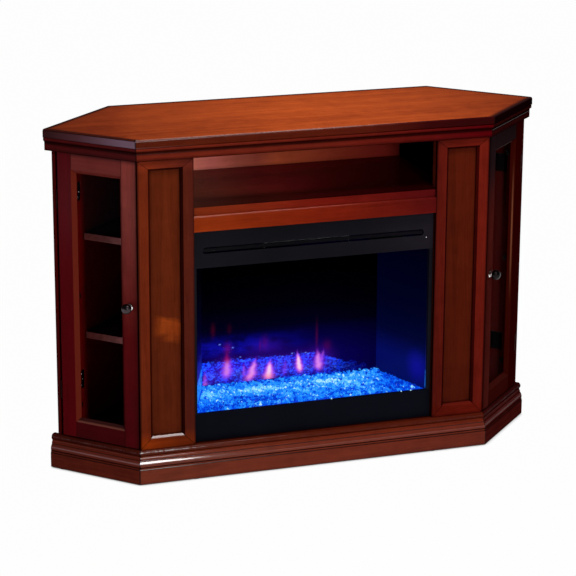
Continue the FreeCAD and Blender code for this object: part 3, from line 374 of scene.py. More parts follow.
def slab_tint(mat, colour):
    """Top slab in painted light: warm in the middle, darker at its outline, with dark edges."""
    x, y, _ = mat.at
    nx, ny, nz = mat.normal
    corners = [v.co for v in nodes["top_slab"].data.vertices]
    back = max(c.y for c in corners)
    rear = max(abs(c.x) + c.y for c in corners)
    slant = max(abs(c.x) - c.y for c in corners)
    side = abs(x)
    gap = mat.math("MINIMUM", back - y, (rear - (side + y)) * COS_45)
    gap = mat.math("MINIMUM", gap, (slant - (side - y)) * COS_45)
    # painted light: the top is lit in the middle and darker towards its ends
    level = colour.toned((x - y * 0.31).step(-0.65, 0.65).ramp(*SLAB_TOP_LIGHT))
    level = mat.mix(gap.step(*SLAB_RIM), SLAB_RIM_TONE, level)
    # painted light on the front edge, lit at the left and shaded at the right
    edge = colour.toned(x.step(-0.45, 0.45).ramp(*SLAB_FRONT_LIGHT))
    # a painted reflection on the left edge, whose upper arris stays dark
    left = x.step(-0.6, -0.44).ramp(*SLAB_LEFT_SHEEN).to((0.02, 0.003, 0.003), nz.step(0.25, 0.5))
    # the left edge takes its painted reflection, the right edge painted shade
    edge = edge.to(left, nx.step(-0.3, -0.6)).to((0.015, 0.002, 0.003), nx.step(0.3, 0.6))
    edge = edge.to(ARRIS, ny.step(0.1, 0.3) * nz.step(0.2, 0.4))
    return mitre_tint(mat, edge).to(level, nz.step(0.85, 0.97))


def slab_gloss(mat, level):
    """The lower arris shines near the left corner only; the right slant and the back don't shine."""
    nx, ny, nz = mat.normal
    low = nz.step(-0.15, -0.3) * mat.at[X].step(-0.28, -0.42) * nx.step(-0.5, -0.2)
    return (level + low * 0.5) * (nx.step(0.6, 0.3) * ny.step(0.1, 0.0))


# painted light on the media shelf across its width, on its edge and on its top, and a painted reflection on
# its top towards the back
SHELF_EDGE_LIGHT = ((0.0, (1.07, 1.6, 1.75)), (0.5, (0.86, 0.55, 1.1)), (1.0, (0.44, 0.19, 1.05)))
SHELF_TOP_LIGHT = ((0.0, (0.2, 0.58, 0.85)), (0.22, (0.2, 0.28, 0.8)), (0.5, (0.2, 0.035, 0.8)),
             (1.0, (0.16, 0.01, 0.1)))
SHELF_BACK_REFLECTION = ((0.0, 0.5), (0.5, 0.95), (1.0, 1.7))


def shelf_tint(mat, colour):
    """Media shelf in painted light: a warm edge, a dark top paler to the left and, by painted reflection, to
    the back.
    """
    x, y, _ = mat.at
    share = x.step(-0.3, 0.3)
    level = share.ramp(*SHELF_TOP_LIGHT).toned(y.step(-0.16, 0.17).ramp(*SHELF_BACK_REFLECTION))
    return colour.toned(share.ramp(*SHELF_EDGE_LIGHT).to(level, looks_up(mat)))


def cabinet_shelf_tint(mat, colour):
    """Cabinet shelves: painted shade makes them dark on top."""
    return colour.toned(mat.mix(looks_up(mat), EVEN, (0.05, 0.02, 0.03)))


# bottom and top of the cornice, and the painted light and shade on its profile from one to the other
CORNICE = (0.774, 0.805)
CORNICE_SHADING = ((0.0, 0.35), (0.08, 0.7), (0.28, 1.35), (0.45, 1.1), (0.54, 0.35), (0.74, 0.3), (0.8, 0.9),
                 (0.93, 1.5), (1.0, 0.8))


def cornice_tint(mat, colour):
    """Cornice in painted light and shade: a dark cove under a paler fillet, and a band darker at its edges.
    """
    return mitre_tint(mat, colour.toned(mat.at[Z].step(*CORNICE).ramp(*CORNICE_SHADING)))


# creases of the plinth moulding, dark with painted shade, each from a lower to an upper height, and how soft
# they end
QUIRKS = ((0.0362, 0.0382), (0.0412, 0.0434), (0.0578, 0.0592), (0.069, 0.0708))
QUIRK_SOFT = 0.0006
# bottom and top of the moulding, and its gloss from one to the other
MOULDING = (0.03, 0.082)
MOULDING_GLOSS = ((0.0, 0.8), (0.21, 0.5), (0.26, 1.9), (0.53, 1.9), (0.57, 0.4), (0.72, 0.5), (0.8, 0.1),
                  (0.87, 0.38), (0.93, 0.38), (0.97, 0.1), (1.0, 0.1))


def plinth_tint(mat, colour):
    """Plinth: a darker bead, and painted shade as dark lines in the quirks of the moulding."""
    z = mat.at[Z]
    colour = colour.to(colour.toned((0.5, 0.5, 0.6)), z.step(0.069, 0.0715))
    for low, high in QUIRKS:
        line = z.window((low - QUIRK_SOFT, low), (high + QUIRK_SOFT, high))
        # painted shade in the crease
        colour = colour.to(GLAZE_AND_SHADE, line * 0.8)
    return mitre_tint(mat, colour)


def plinth_gloss(mat, level):
    """The ovolo shines most; the bead above it shows only broken glints."""
    z = mat.at[Z]
    share = z.step(*MOULDING).ramp(*MOULDING_GLOSS)
    flecks = mat.noise(mat.place, 240.0, 2.0).ramp((0.42, 0.15), (0.56, 2.2))
    return level * share.to(share.toned(flecks), z.step(0.0685, 0.0705))


# painted light on the bay's back from its left to its right end, and tones of the boards' outer faces
BAY_BACK_LIGHT = ((0.0, (2.9, 8.4, 22.0)), (0.1, (2.2, 5.4, 11.0)), (0.19, (1.35, 3.0, 8.4)),
            (0.25, (1.1, 2.2, 6.6)), (0.31, (0.92, 1.75, 4.6)), (0.36, (0.7, 1.3, 3.2)),
            (0.45, (0.62, 0.95, 2.2)), (0.54, (0.92, 1.35, 1.9)), (1.0, (0.75, 0.5, 1.3)))
OUTER_BACK = (0.15, 0.25, 0.4)


def bay_back_tint(mat, colour):
    """Painted light pales the back of the media bay towards the left; the outer face is plain dark board."""
    tone = mat.at[X].step(-0.3, 0.28).ramp(*BAY_BACK_LIGHT)
    return colour.toned(tone.to(OUTER_BACK, mat.normal[Y].step(0.3, 0.7)))


# painted shade on the right board; a warm patch of painted reflection on the left one: tone, and soft ends
# upwards and to each side
RIGHT_BOARD_SHADE = (0.76, 0.54, 0.6)
LIT_PATCH_TONE, LIT_PATCH_UP = (2.5, 2.7, 1.5), ((0.286, 0.312), (0.348, 0.334))
LIT_PATCH_LEFT, LIT_PATCH_RIGHT = (-0.396, -0.372), (-0.3, -0.33)


def board_tint(mat, colour):
    """Both recessed boards: the right one darker with painted shade; a warm ragged painted reflection on the
    left.
    """
    x, _, z = mat.at
    colour = colour.toned(mat.mix(x.step(-0.3, 0.3), EVEN, RIGHT_BOARD_SHADE))
    ragged = mat.noise(mat.mapped(mat.place, scale=(1.0, 1.0, 2.5)), 30.0, 3.0)
    height = z + ragged * 0.045 + x * 0.2
    lit_patch = height.window(*LIT_PATCH_UP) * x.step(*LIT_PATCH_LEFT) * x.step(*LIT_PATCH_RIGHT)
    return colour.to(colour.toned(LIT_PATCH_TONE), lit_patch)


def frame_tint(mat, colour):
    """Pilaster frames: their chamfers lie in the shade, all but the lower one."""
    nx, _, nz = mat.normal
    shade = mat.math("MAXIMUM", abs(nx).step(0.25, 0.5), nz.step(-0.25, -0.5))
    return colour.to(colour.toned((0.25, 0.22, 0.3)), shade)


def frame_gloss(mat, level):
    """Neither the upright chamfers nor the lowest part of a frame shine."""
    return level * mat.at[Z].step(0.107, 0.1088) * abs(mat.normal[X]).step(0.5, 0.25)


def along_slant(mat):
    """Distance along a slanted side from its front corner."""
    x, y, _ = mat.at
    return (abs(x) - SLANT_X + (y - SLANT_Y)) * COS_45


def joint_tint(mat, colour):
    """Dark joints where the door rails meet the stiles."""
    along = along_slant(mat)
    first, second = (abs(along - place).step(0.0018, 0.0004) for place in DOOR_JOINTS)
    return colour.to(GLAZE_AND_SHADE, mat.math("MAXIMUM", first, second) * 0.85)


# fine glint on a stile's sticking: half its height, its soft edges along the slant, and its tone
GLINT_TALL, GLINT_EDGES = 0.2, ((0.1712, 0.1722), (0.1748, 0.1738))
GLINT_TONE = (0.4, 0.12, 0.055)


def bevel_tint(tone, middle=None):
    """Sticking of a door stile that looks to the front, in a tone of painted light; middle is the height of
    a fine painted glint on it.
    """
    def tint(mat, colour):
        bevel = tone
        if middle is not None:
            glint = mat.spot((0.0, 0.0, middle), (None, None, GLINT_TALL))
            bevel = mat.mix(glint * along_slant(mat).window(*GLINT_EDGES), tone, GLINT_TONE)
        return colour.to(bevel, mat.normal[Y].step(-0.9, -0.97))
    return tint


def rail_tint(mat, colour):
    """The sticking of a lower door rail looks up and catches the light along its front edge."""
    sticking = mat.mix(mat.at[Z].step(0.1262, 0.1246), (0.085, 0.012, 0.009), (0.34, 0.09, 0.06))
    return colour.to(sticking, mat.normal[Z].step(0.3, 0.6))


def lip_highlight(mat, colour):
    """A fine pale line of painted highlight along the lower edge of an upper door rail."""
    return colour.to((0.42, 0.3, 0.3), mat.at[Z].window((0.724, 0.7248), (0.728, 0.7268)))


def panel_tint(inner):
    """Rear panels of the cabinets: another tone, painted light, on the face that looks into the cabinet."""
    def tint(mat, colour):
        nx, ny, _ = mat.normal
        return colour.to(inner, ny.step(-0.3, -0.6) * (nx * mat.at[X]).step(-0.05, -0.2))
    return tint


def lock_shading(mat, colour):
    """Painted light and shade across a lock stile: darker towards its outer edge, paler before its inner
    one.
    """
    across = along_slant(mat).step(0.004, 0.042)
    return colour.toned(across.ramp((0.0, 0.35), (0.12, 0.78), (0.35, 1.0), (0.85, 1.15), (1.0, 0.85)))


def dark_reflection_tint(mat, colour):
    """Upper part of the right door: nearly black, a painted dark reflection."""
    return colour.to((0.04, 0.017, 0.02), mat.at[Z].step(0.58, 0.7))


# painted light: how tones of the front pieces change from left to right, lit at the left and shaded at the
# right, and those of the left frame and door upwards; the left door has a painted sheen high up and painted
# shade under the cornice
CORNICE_LIGHT_ACROSS = by_place(X, (-0.43, (1.13, 1.7, 1.5)), (0.0, (0.85, 1.06, 1.06)), (0.43, (0.56, 0.02, 0.4)))
PLINTH_LIGHT_ACROSS = by_place(X, (-0.43, (1.0, 1.25, 1.5)), (0.43, (0.9, 0.8, 0.8)))
FASCIA_LIGHT_ACROSS = by_place(X, (-0.3, (1.08, 1.58, 1.3)), (0.0, (0.81, 0.71, 0.96)), (0.3, (0.37, 0.18, 1.05)))
LEFT_FRAME_LIGHT_ACROSS = by_place(
    X, (-0.4292, (0.12, 0.1, 0.2)), (-0.424, EVEN), (-0.405, EVEN), (-0.32, (0.58, 0.62, 1.1)),
    (-0.301, (0.55, 0.58, 1.2)), (-0.297, (0.2, 0.2, 0.5)))
RIGHT_FRAME_LIGHT_ACROSS = by_place(
    X, (0.297, (0.3, 0.25, 0.4)), (0.3015, (0.9, 1.0, 1.0)), (0.405, (1.3, 1.3, 1.2)),
    (0.425, (1.3, 1.3, 1.2)), (0.4292, (0.35, 0.3, 0.4)))
LEFT_FRAME_LIGHT_UP = by_place(
    Z, (0.095, (1.9, 1.9, 0.95)), (0.125, EVEN), (0.742, EVEN), (0.76, (1.45, 1.4, 1.6)))
LEFT_DOOR_SHEEN_UP = by_place(
    Z, (0.12, (0.9, 0.5, 0.9)), (0.35, (1.1, 1.1, 1.1)), (0.66, (2.5, 12.4, 6.8)),
    (0.762, (2.9, 13.4, 7.2)), (0.772, (1.2, 4.0, 2.6)))


def dress(material, *names):
    for name in names:
        slots = nodes[name].data.materials
        slots.clear()
        slots.append(material)


def dress_front():
    """Wood of the pieces that have no twin at the other end."""
    dress(cherry("top", "x", (0.465, 0.072, 0.013), shift=3.1, top=0.015, rim=0.37,
                 tints=(slab_tint,), gloss=slab_gloss), "top_slab")
    dress(cherry("cornice", "x", (0.215, 0.016, 0.008), rim=0.06, shine=0.015,
                 tints=(CORNICE_LIGHT_ACROSS, cornice_tint)), "cornice_front")
    dress(cherry("plinth", "x", (0.395, 0.048, 0.0132), shine=0.13, rim=0.9, shift=1.2,
                 rough=(0.08, 0.12), tints=(PLINTH_LIGHT_ACROSS, plinth_tint), gloss=plinth_gloss), "plinth_front")
    dress(cherry("fascia", "x", (0.44, 0.033, 0.0055), shift=6.2, rim=0.32, tints=(FASCIA_LIGHT_ACROSS,)),
          "media_fascia")
    dress(cherry("shelf", "x", (0.36, 0.03, 0.007), shift=2.8, top=0.02, shine=0.02, rim=0.3,
                 tints=(shelf_tint,)), "media_shelf")
    dress(cherry("frame_left", "z", (0.304, 0.039, 0.0098), shift=1.7, frame_of=True, rim=0.9,
                 shine=0.025, tints=(frame_tint, LEFT_FRAME_LIGHT_ACROSS, LEFT_FRAME_LIGHT_UP), gloss=frame_gloss),
          "left_pilaster_frame")
    # the right frame's deeper tone is painted shade
    dress(cherry("frame_right", "z", (0.231, 0.0158, 0.0078), shift=4.4, frame_of=True, rim=0.15,
                 shine=0.02, tints=(frame_tint, RIGHT_FRAME_LIGHT_ACROSS), gloss=frame_gloss),
          "right_pilaster_frame")
    dress(cherry("recess", "z", (0.225, 0.033, 0.0085), shift=5.3, corner_shade=0.92, reach=0.02,
                 shine=0.02, tints=(board_tint,)), "pilaster_boards")
    # the inside boards' near-black tone is painted shade
    dress(cherry("inside", "x", (0.05, 0.004, 0.003), shift=8.9, shine=0.0, rim=0.0, top=0.0,
                 rough=(0.4, 0.5)), "sub_top", "bottom_deck", "top_battens", "plinth_rear_boards")
    # cabinet shelves: their near-white tone is painted light on their front edges
    dress(cherry("shelves", "x", (1.0, 0.35, 0.33), shift=9.7, shine=0.01, corner_shade=0.0,
                 tints=(cabinet_shelf_tint,)), "cabinet_shelves")
    dress(cherry("back", "x", (0.5, 0.062, 0.017), shift=7.5, shine=0.02, figure=0.6, corner_shade=0.4,
                 tints=(bay_back_tint,)), "back_boards")


# what differs between the two ends: middle tones, specular levels and tints. Its tones are partly painted
# light: the right end is darker with painted shade, the left one paler with painted light and sheen
ENDS = {
    "left": dict(
        shine=0.02, stile=(0.204, 0.0015, 0.0058), bevel=bevel_tint((0.318, 0.036, 0.017)),
        door=LEFT_DOOR_SHEEN_UP, lock=(0.19, 0.0064, 0.0086), rail=(0.142, 0.0042, 0.006), rail_rim=0.6,
        line=rail_tint, inner=(0.37, 0.005, 0.005), cornice=(0.13, 0.0072, 0.0072),
        cornice_levels=dict(shine=0.012, rim=0.1), plinth=(0.26, 0.034, 0.015),
        plinth_levels=dict(shine=0.04, rim=0.3)),
    "right": dict(
        shine=0.0, stile=(0.082, 0.0015, 0.0008), bevel=bevel_tint((0.08, 0.006, 0.003), 0.5),
        door=dark_reflection_tint, lock=(0.165, 0.0212, 0.016), rail=(0.11, 0.01, 0.006), rail_rim=0.05,
        line=lip_highlight, inner=(0.13, 0.006, 0.005), cornice=(0.06, 0.006, 0.006),
        cornice_levels=dict(shine=0.0, rim=0.4), plinth=(0.18, 0.02, 0.016),
        plinth_levels=dict(shine=0.0, rim=0.04)),
}
# the partitions' near-black tone is painted shade
PARTITION, REAR_PANEL = (0.004, 0.0003, 0.0003), (0.13, 0.011, 0.009)


def dress_end(word, end):
    """Wood of a door, its cabinet and the mouldings at one end."""
    shine = end["shine"]
    dress(cherry("hinge_stile_" + word, "z", end["stile"], shift=0.9, shine=shine, rim=0.3,
                 figure=0.7, tints=(end["bevel"],)), word + "_door_hinge_stile")
    dress(cherry("lock_stile_" + word, "z", end["lock"], shift=2.9, shine=shine, rim=0.3, figure=0.9,
                 tints=(end["door"], lock_shading)), word + "_door_lock_stile")
    dress(cherry("rail_" + word, word, end["rail"], shift=3.6, shine=shine, rim=end["rail_rim"],
                 figure=0.7, tints=(end["door"], end["line"], joint_tint)), word + "_door_rails")
    dress(cherry("partition_" + word, "z", PARTITION, shift=2.2, shine=0.0, top=0.0),
          word + "_partition")
    dress(cherry("panel_" + word, "z", REAR_PANEL, shift=6.6, shine=0.0, figure=0.7,
                 tints=(panel_tint(end["inner"]),)), word + "_rear_panel")
    dress(cherry("cornice_" + word, word, end["cornice"], shift=5.8, tints=(cornice_tint,),
                 **end["cornice_levels"]), "cornice_" + word)
    dress(cherry("plinth_" + word, word, end["plinth"], shift=7.1, tints=(plinth_tint,),
                 rough=(0.26, 0.36), gloss=plinth_gloss, **end["plinth_levels"]), "plinth_" + word)


# Metal, plastic and glass

# scale and detail of the grain, scale of the clouds, darkest cloud, strength of the relief, other inputs
METAL = (700.0, 3.0, 40.0, 0.82, 0.04, {"Metallic": 1.0})
PLASTIC = (1400.0, 2.0, 30.0, 0.85, 0.1, {"Specular_IOR_Level": 0.3})


def scaled(colour, factor):
    return tuple(c * factor for c in colour)


def coated_steel(name, base, low, high, shine=0.05, tints=(), glow=None):
    """Powder-coated sheet: a fine orange-peel over satin black. glow gives the light that falls on it."""
    mat = Surface(name)
    peel = mat.noise(mat.place, 900.0, 2.0)
    cloud = mat.noise(mat.place, 6.0, 3.0)
    tone = cloud.ramp((0.3, scaled(base, 0.75)), (0.7, scaled(base, 1.3)))
    for tint in tints:
        tone = tint(mat, tone)
    light = dict(Emission_Color=glow(mat), Emission_Strength=1.0) if glow else {}
    return mat.principled(Specular_IOR_Level=shine, Base_Color=tone, Roughness=cloud.spread(low, high),
                          Normal=mat.bump(peel, 0.1, 0.0003), **light)


def grained(kind, name, colour, low, high):
    """Plain metal or plastic with a roughness from low to high."""
    scale, detail, clouds, darkest, strength, others = kind
    mat = Surface(name)
    grain = mat.noise(mat.place, scale, detail)
    tone = mat.noise(mat.place, clouds, 2.0).ramp((0.3, scaled(colour, darkest)), (0.7, colour))
    return mat.principled(Base_Color=tone, Roughness=grain.spread(low, high),
                          Normal=mat.bump(grain, strength, 0.0002), **others)


def pane(name, tint, sheen_level):
    """A thin coated pane: see-through, with a sheen that grows towards the edge-on view."""
    mat = Surface(name)
    smear = mat.noise(mat.place, 14.0, 3.0)
    share = mat.get("LayerWeight", "Facing").ramp((0.0, sheen_level), (0.6, sheen_level * 1.5),
                                                  (0.97, sheen_level * 60.0))
    return mat.layered(share, mat.add("BsdfTransparent", Color=tint),
                       mat.add("BsdfGlossy", Roughness=smear.spread(0.02, 0.07)))


# bright points painted in the screen's second image: x, z, radius
SPARKS = ((-0.18, 0.252, 0.0042), (-0.147, 0.241, 0.004), (0.005, 0.211, 0.004),
          (0.04, 0.2095, 0.004), (-0.02, 0.206, 0.0035), (-0.128, 0.215, 0.0035))
# silvering: heights between which it ends, where that starts to drop to the right, and how steeply
SILVER_TOP, SILVER_TURN, SILVER_DROP = (0.196, 0.226), 0.05, 0.32
# tones of the silvering to the right, and of the painted blue glow on the dark glass upwards
SILVER = ((0.0, (0.13, 0.23, 0.98)), (0.5, (0.11, 0.15, 0.85)), (1.0, (0.04, 0.03, 0.25)))
NIGHT = ((0.2, (0.003, 0.0006, 0.1)), (0.3, (0.0016, 0.0004, 0.06)), (0.42, (0.0004, 0.0003, 0.009)),
         (0.55, (0.0001, 0.0001, 0.002)), (0.75, (0.0, 0.0, 0.0002)), (1.0, (0.0, 0.0, 0.0)))
# painted second image: soft lower and upper end, reach to the right, and tones of it, of painted chips and
# of sparks
IMAGE_UP, IMAGE_REACH = ((0.216, 0.236), (0.276, 0.244)), (0.06, -0.11)
IMAGE_TONE, CHIP_TONE, SPARK_TONE = (0.004, 0.004, 0.34), (0.008, 0.07, 0.76), (0.14, 0.24, 1.0)


def mirror_screen():
    """Dark half-mirror: silvered low down, where it shows the bed and painted chips, with a painted glow and
    a faint painted second image above.
    """
    mat = Surface("mirror_dark")
    x, _, z = mat.at
    ragged = mat.noise(mat.place, 70.0, 3.0)
    drop = mat.math("MAXIMUM", x - SILVER_TURN, 0.0) * SILVER_DROP
    silver = (ragged.spread(*SILVER_TOP) - drop - z).step(0.0, 0.004)
    tone = x.step(-0.05, 0.2).ramp(*SILVER).toned(silver)
    cells = mat.noise(mat.mapped(mat.place, scale=(1.0, 1.0, 1.5)), 150.0, 2.0, roughness=0.6)
    patches = mat.noise(mat.place, 34.0, 2.0)
    gaps = cells.ramp((0.36, 0.25), (0.56, 1.15)) * patches.ramp((0.36, 0.55), (0.62, 1.25))
    tone = tone.toned(gaps * z.step(0.15, 0.185).ramp((0.0, 0.45), (1.0, 1.0)))
    chips = cells.ramp((0.5, 0.0), (0.66, 1.0)) * silver * x.step(0.17, 0.04)
    drift = mat.noise(mat.mapped(mat.place, scale=(0.5, 1.0, 1.0)), 60.0, 3.0)
    band = z.window(*IMAGE_UP) * x.step(*IMAGE_REACH) * drift.ramp((0.38, 0.15), (0.62, 1.0))
    night = z.step(0.12, 0.52).ramp(*NIGHT)
    glow = night.toned((0.4, 0.4, 0.4)).to(night, x.step(0.22, 0.06))
    glow = glow.to(IMAGE_TONE, band).to(CHIP_TONE, chips)
    for dot_x, dot_z, wide in SPARKS:
        glow = glow.to(SPARK_TONE, mat.spot((dot_x, 0.0, dot_z), (wide, None, wide * 0.6)))
    return mat.principled(Metallic=1.0, Base_Color=tone, Emission_Color=glow, Emission_Strength=1.0,
                          Roughness=ragged.spread(0.005, 0.02))


# bottom and top of the chamber, and the light on its lining in between, at the left and at the right end
CHAMBER = (0.14, 0.52)
LEFT_GLOW = ((0.0, (0.016, 0.24, 0.95)), (0.13, (0.014, 0.2, 0.92)), (0.155, (0.006, 0.01, 0.26)),
             (0.23, (0.006, 0.008, 0.2)), (0.28, (0.002, 0.001, 0.08)), (0.4, (0.0003, 0.0002, 0.012)),
             (0.7, (0.0, 0.0, 0.0008)))
RIGHT_GLOW = ((0.0, (0.001, 0.004, 0.1)), (0.16, (0.0012, 0.0034, 0.105)), (0.32, (0.0002, 0.0012, 0.026)),
              (0.5, (0.0, 0.0005, 0.013)), (1.0, (0.0, 0.0, 0.0035)))
# brightest place on the right lining: middle, radii and tone
HOT_PLACE, HOT_RADII, HOT_TONE = (0.276, -0.118, 0.195), (0.035, 0.055, 0.055), (0.004, 0.004, 0.26)


def side_glow(mat):
    """Light of the bed and of its image on surfaces at the left end of the chamber."""
    grains = mat.noise(mat.mapped(mat.place, scale=(0.5, 0.5, 1.0)), 150.0, 3.0)
    return mat.at[Z].step(*CHAMBER).ramp(*LEFT_GLOW).toned(grains.ramp((0.36, 0.55), (0.64, 1.35)))


def liner_glow(mat):
    """The lining catches the bed's blue light, most of all low down and near the glass."""
    right = mat.at[Z].step(*CHAMBER).ramp(*RIGHT_GLOW).to(HOT_TONE, mat.spot(HOT_PLACE, HOT_RADII))
    return side_glow(mat).to(right, mat.math("GREATER_THAN", mat.at[X], 0.0))


def trim_glow(mat):
    """The bed lights the back edge of the side trims' return."""
    return mat.mix(mat.at[Y].step(-0.1515, -0.148), (0.0, 0.0, 0.0), side_glow(mat))


# the right knob's darker tone is painted shade, the left one's paler tone painted light
KNOB_TONES = {"left": (0.055, 0.042, 0.045), "right": (0.016, 0.013, 0.013)}
NECK_TONE = (0.85, 0.82, 0.8)


def knob_bronze(word):
    """Dark bronze knob on a bright neck."""
    mat = Surface("bronze_" + word)
    x, y, _ = mat.at
    neck = ((abs(x) - SLANT_X - (y - SLANT_Y)) * COS_45).step(0.0105, 0.0085)
    return mat.principled(Metallic=1.0, Base_Color=mat.mix(neck, KNOB_TONES[word], NECK_TONE),
                          Roughness=mat.mix(neck, (0.3, 0.3, 0.3), (0.08, 0.08, 0.08)))


# painted light: the steel of the firebox front is paler towards its ends, most at the right
HEADER_LIGHT_ACROSS = by_place(X, (-0.3, (1.45, 1.5, 1.45)), (-0.12, EVEN), (0.12, EVEN), (0.28, (2.5, 2.2, 2.2)))


def dress_works():
    dress(coated_steel("satin_black", (0.0092, 0.0082, 0.0122), 0.38, 0.5, shine=0.04,
                       tints=(HEADER_LIGHT_ACROSS,)), "firebox_case", "firebox_header", "heat_louvre")
    dress(coated_steel("apron_black", (0.0055, 0.0063, 0.012), 0.38, 0.5, shine=0.03), "firebox_apron")
    dress(coated_steel("trim_black", (0.012, 0.011, 0.016), 0.4, 0.5, glow=trim_glow), "firebox_side_trims")
    dress(coated_steel("chamber_black", (0.0008, 0.0008, 0.002), 0.28, 0.38, shine=0.02, glow=liner_glow),
          "firebox_liners")
    dress(coated_steel("tray_black", (0.004, 0.004, 0.006), 0.4, 0.5), "ember_tray")
    dress(grained(METAL, "plated_steel", (0.5, 0.5, 0.51), 0.25, 0.45), "drive_motors", "blower_housing",
          "firebox_brackets")
    dress(grained(METAL, "plated_dim", (0.1, 0.095, 0.09), 0.25, 0.4), "shelf_supports",
          "left_door_fittings", "right_door_fittings")
    dress(grained(METAL, "hinge_brown", (0.012, 0.004, 0.004), 0.35, 0.5), "left_hinge_plates",
          "left_door_hinge_leaves", "right_hinge_plates", "right_door_hinge_leaves")
    for word in KNOB_TONES:
        dress(knob_bronze(word), word + "_door_knob")
    dress(grained(METAL, "aluminium_plain", (0.7, 0.7, 0.71), 0.3, 0.5), "heater_element", "flame_rotor",
          "blower_wheel")
    dress(grained(PLASTIC, "plastic_black", (0.02, 0.02, 0.02), 0.4, 0.6), "floor_glides", "door_catches",
          "cord_gland")
    dress(grained(PLASTIC, "plastic_board", (0.02, 0.12, 0.05), 0.4, 0.6), "control_board")
    dress(grained(PLASTIC, "plastic_led", (0.8, 0.82, 0.9), 0.2, 0.35), "led_bar")
    dress(pane("glass_firebox", (0.97, 0.97, 0.98), 0.00015), "firebox_glass")
    dress(pane("glass_door", (0.95, 0.96, 0.96), 0.0001), "left_door_glass", "right_door_glass")
    dress(mirror_screen(), "flame_screen")


# Bed of crushed glass

# narrowing of half the bed to the back, its loose crust, number and sizes of its pieces, number of shapes
BED_TAPER, BED_CRUST = 0.0635, 0.006
CHIP_COUNT, CHIP_SIZES, CHIP_SHAPES = 4600, (0.0058, 0.0102), 40
FULL_TURN = 6.28
# glow of the block under the pieces, mean and scatter of theirs, odds of a bright and of a dark one
BLOCK_GLOW, MEAN_GLOW, GLOW_SCATTER = 0.2, 0.44, 0.075
BRIGHT_ODDS, DARK_ODDS = 0.06, 0.12
# paler drifts and deeper hollows of the bed: x, y, half length, half depth, change of glow
DRIFTS = (
    (-0.1, -0.036, 0.075, 0.026, 0.42), (0.076, -0.03, 0.07, 0.024, 0.42),
    (-0.218, -0.037, 0.05, 0.03, 0.26), (0.164, -0.014, 0.04, 0.02, 0.22),
    (0.02, -0.07, 0.09, 0.03, 0.14), (0.13, -0.07, 0.055, 0.035, 0.24),
    (-0.157, -0.075, 0.03, 0.022, -0.16), (-0.095, -0.1, 0.05, 0.022, -0.2),
    (-0.225, -0.122, 0.05, 0.022, -0.24), (0.24, -0.105, 0.065, 0.05, -0.24),
    (0.09, -0.095, 0.045, 0.022, -0.16), (0.25, -0.04, 0.04, 0.06, -0.18),
)
# loose pieces on the lip of the apron: x and y, their size, and how far their middle lies over the lip
LOOSE = ((0.2245, -0.1565), (0.2481, -0.156), (0.0461, -0.1545))
LOOSE_SIZE, LOOSE_RISE = 0.0048, 0.0019
# colour of the glass from dim to bright
GLASS_GLOW = ((0.0, (0.0, 0.006, 0.22)), (0.2, (0.0, 0.04, 0.66)), (0.4, (0.006, 0.19, 0.94)),
              (0.58, (0.022, 0.34, 0.98)), (0.76, (0.12, 0.58, 1.0)), (1.0, (0.48, 0.88, 1.0)))


def chip_shapes(rng, count):
    """Corners and faces of crushed pieces about one unit wide: hulls of a few points."""
    shapes = []
    for _ in range(count):
        mesh = bmesh.new()
        for _ in range(rng.randint(7, 9)):
            point = Vector((rng.gauss(0, 1), rng.gauss(0, 1), rng.gauss(0, 1))).normalized()
            mesh.verts.new(point * rng.uniform(0.4, 0.52))
        hull = bmesh.ops.convex_hull(mesh, input=mesh.verts[:])
        spare = [v for v in hull["geom_interior"] if isinstance(v, bmesh.types.BMVert)]
        bmesh.ops.delete(mesh, geom=spare, context="VERTS")
        mesh.verts.index_update()
        shapes.append(([v.co.copy() for v in mesh.verts], [[v.index for v in f.verts] for f in mesh.faces]))
        mesh.free()
    return shapes


def glow_at(x, y, rng):
    value = MEAN_GLOW + rng.gauss(0.0, GLOW_SCATTER) + 0.34 * noise.noise(Vector((x * 60.0, y * 75.0, 3.0)))
    for cx, cy, wide, deep, change in DRIFTS:
        reach = ((x - cx) / wide) ** 2 + ((y - cy) / deep) ** 2
        value += change * math.exp(-1.6 * reach)
    if rng.random() < BRIGHT_ODDS:
        value += rng.uniform(0.2, 0.5)
    if rng.random() < DARK_ODDS:
        value -= rng.uniform(0.12, 0.3)
    return max(0.1, value)


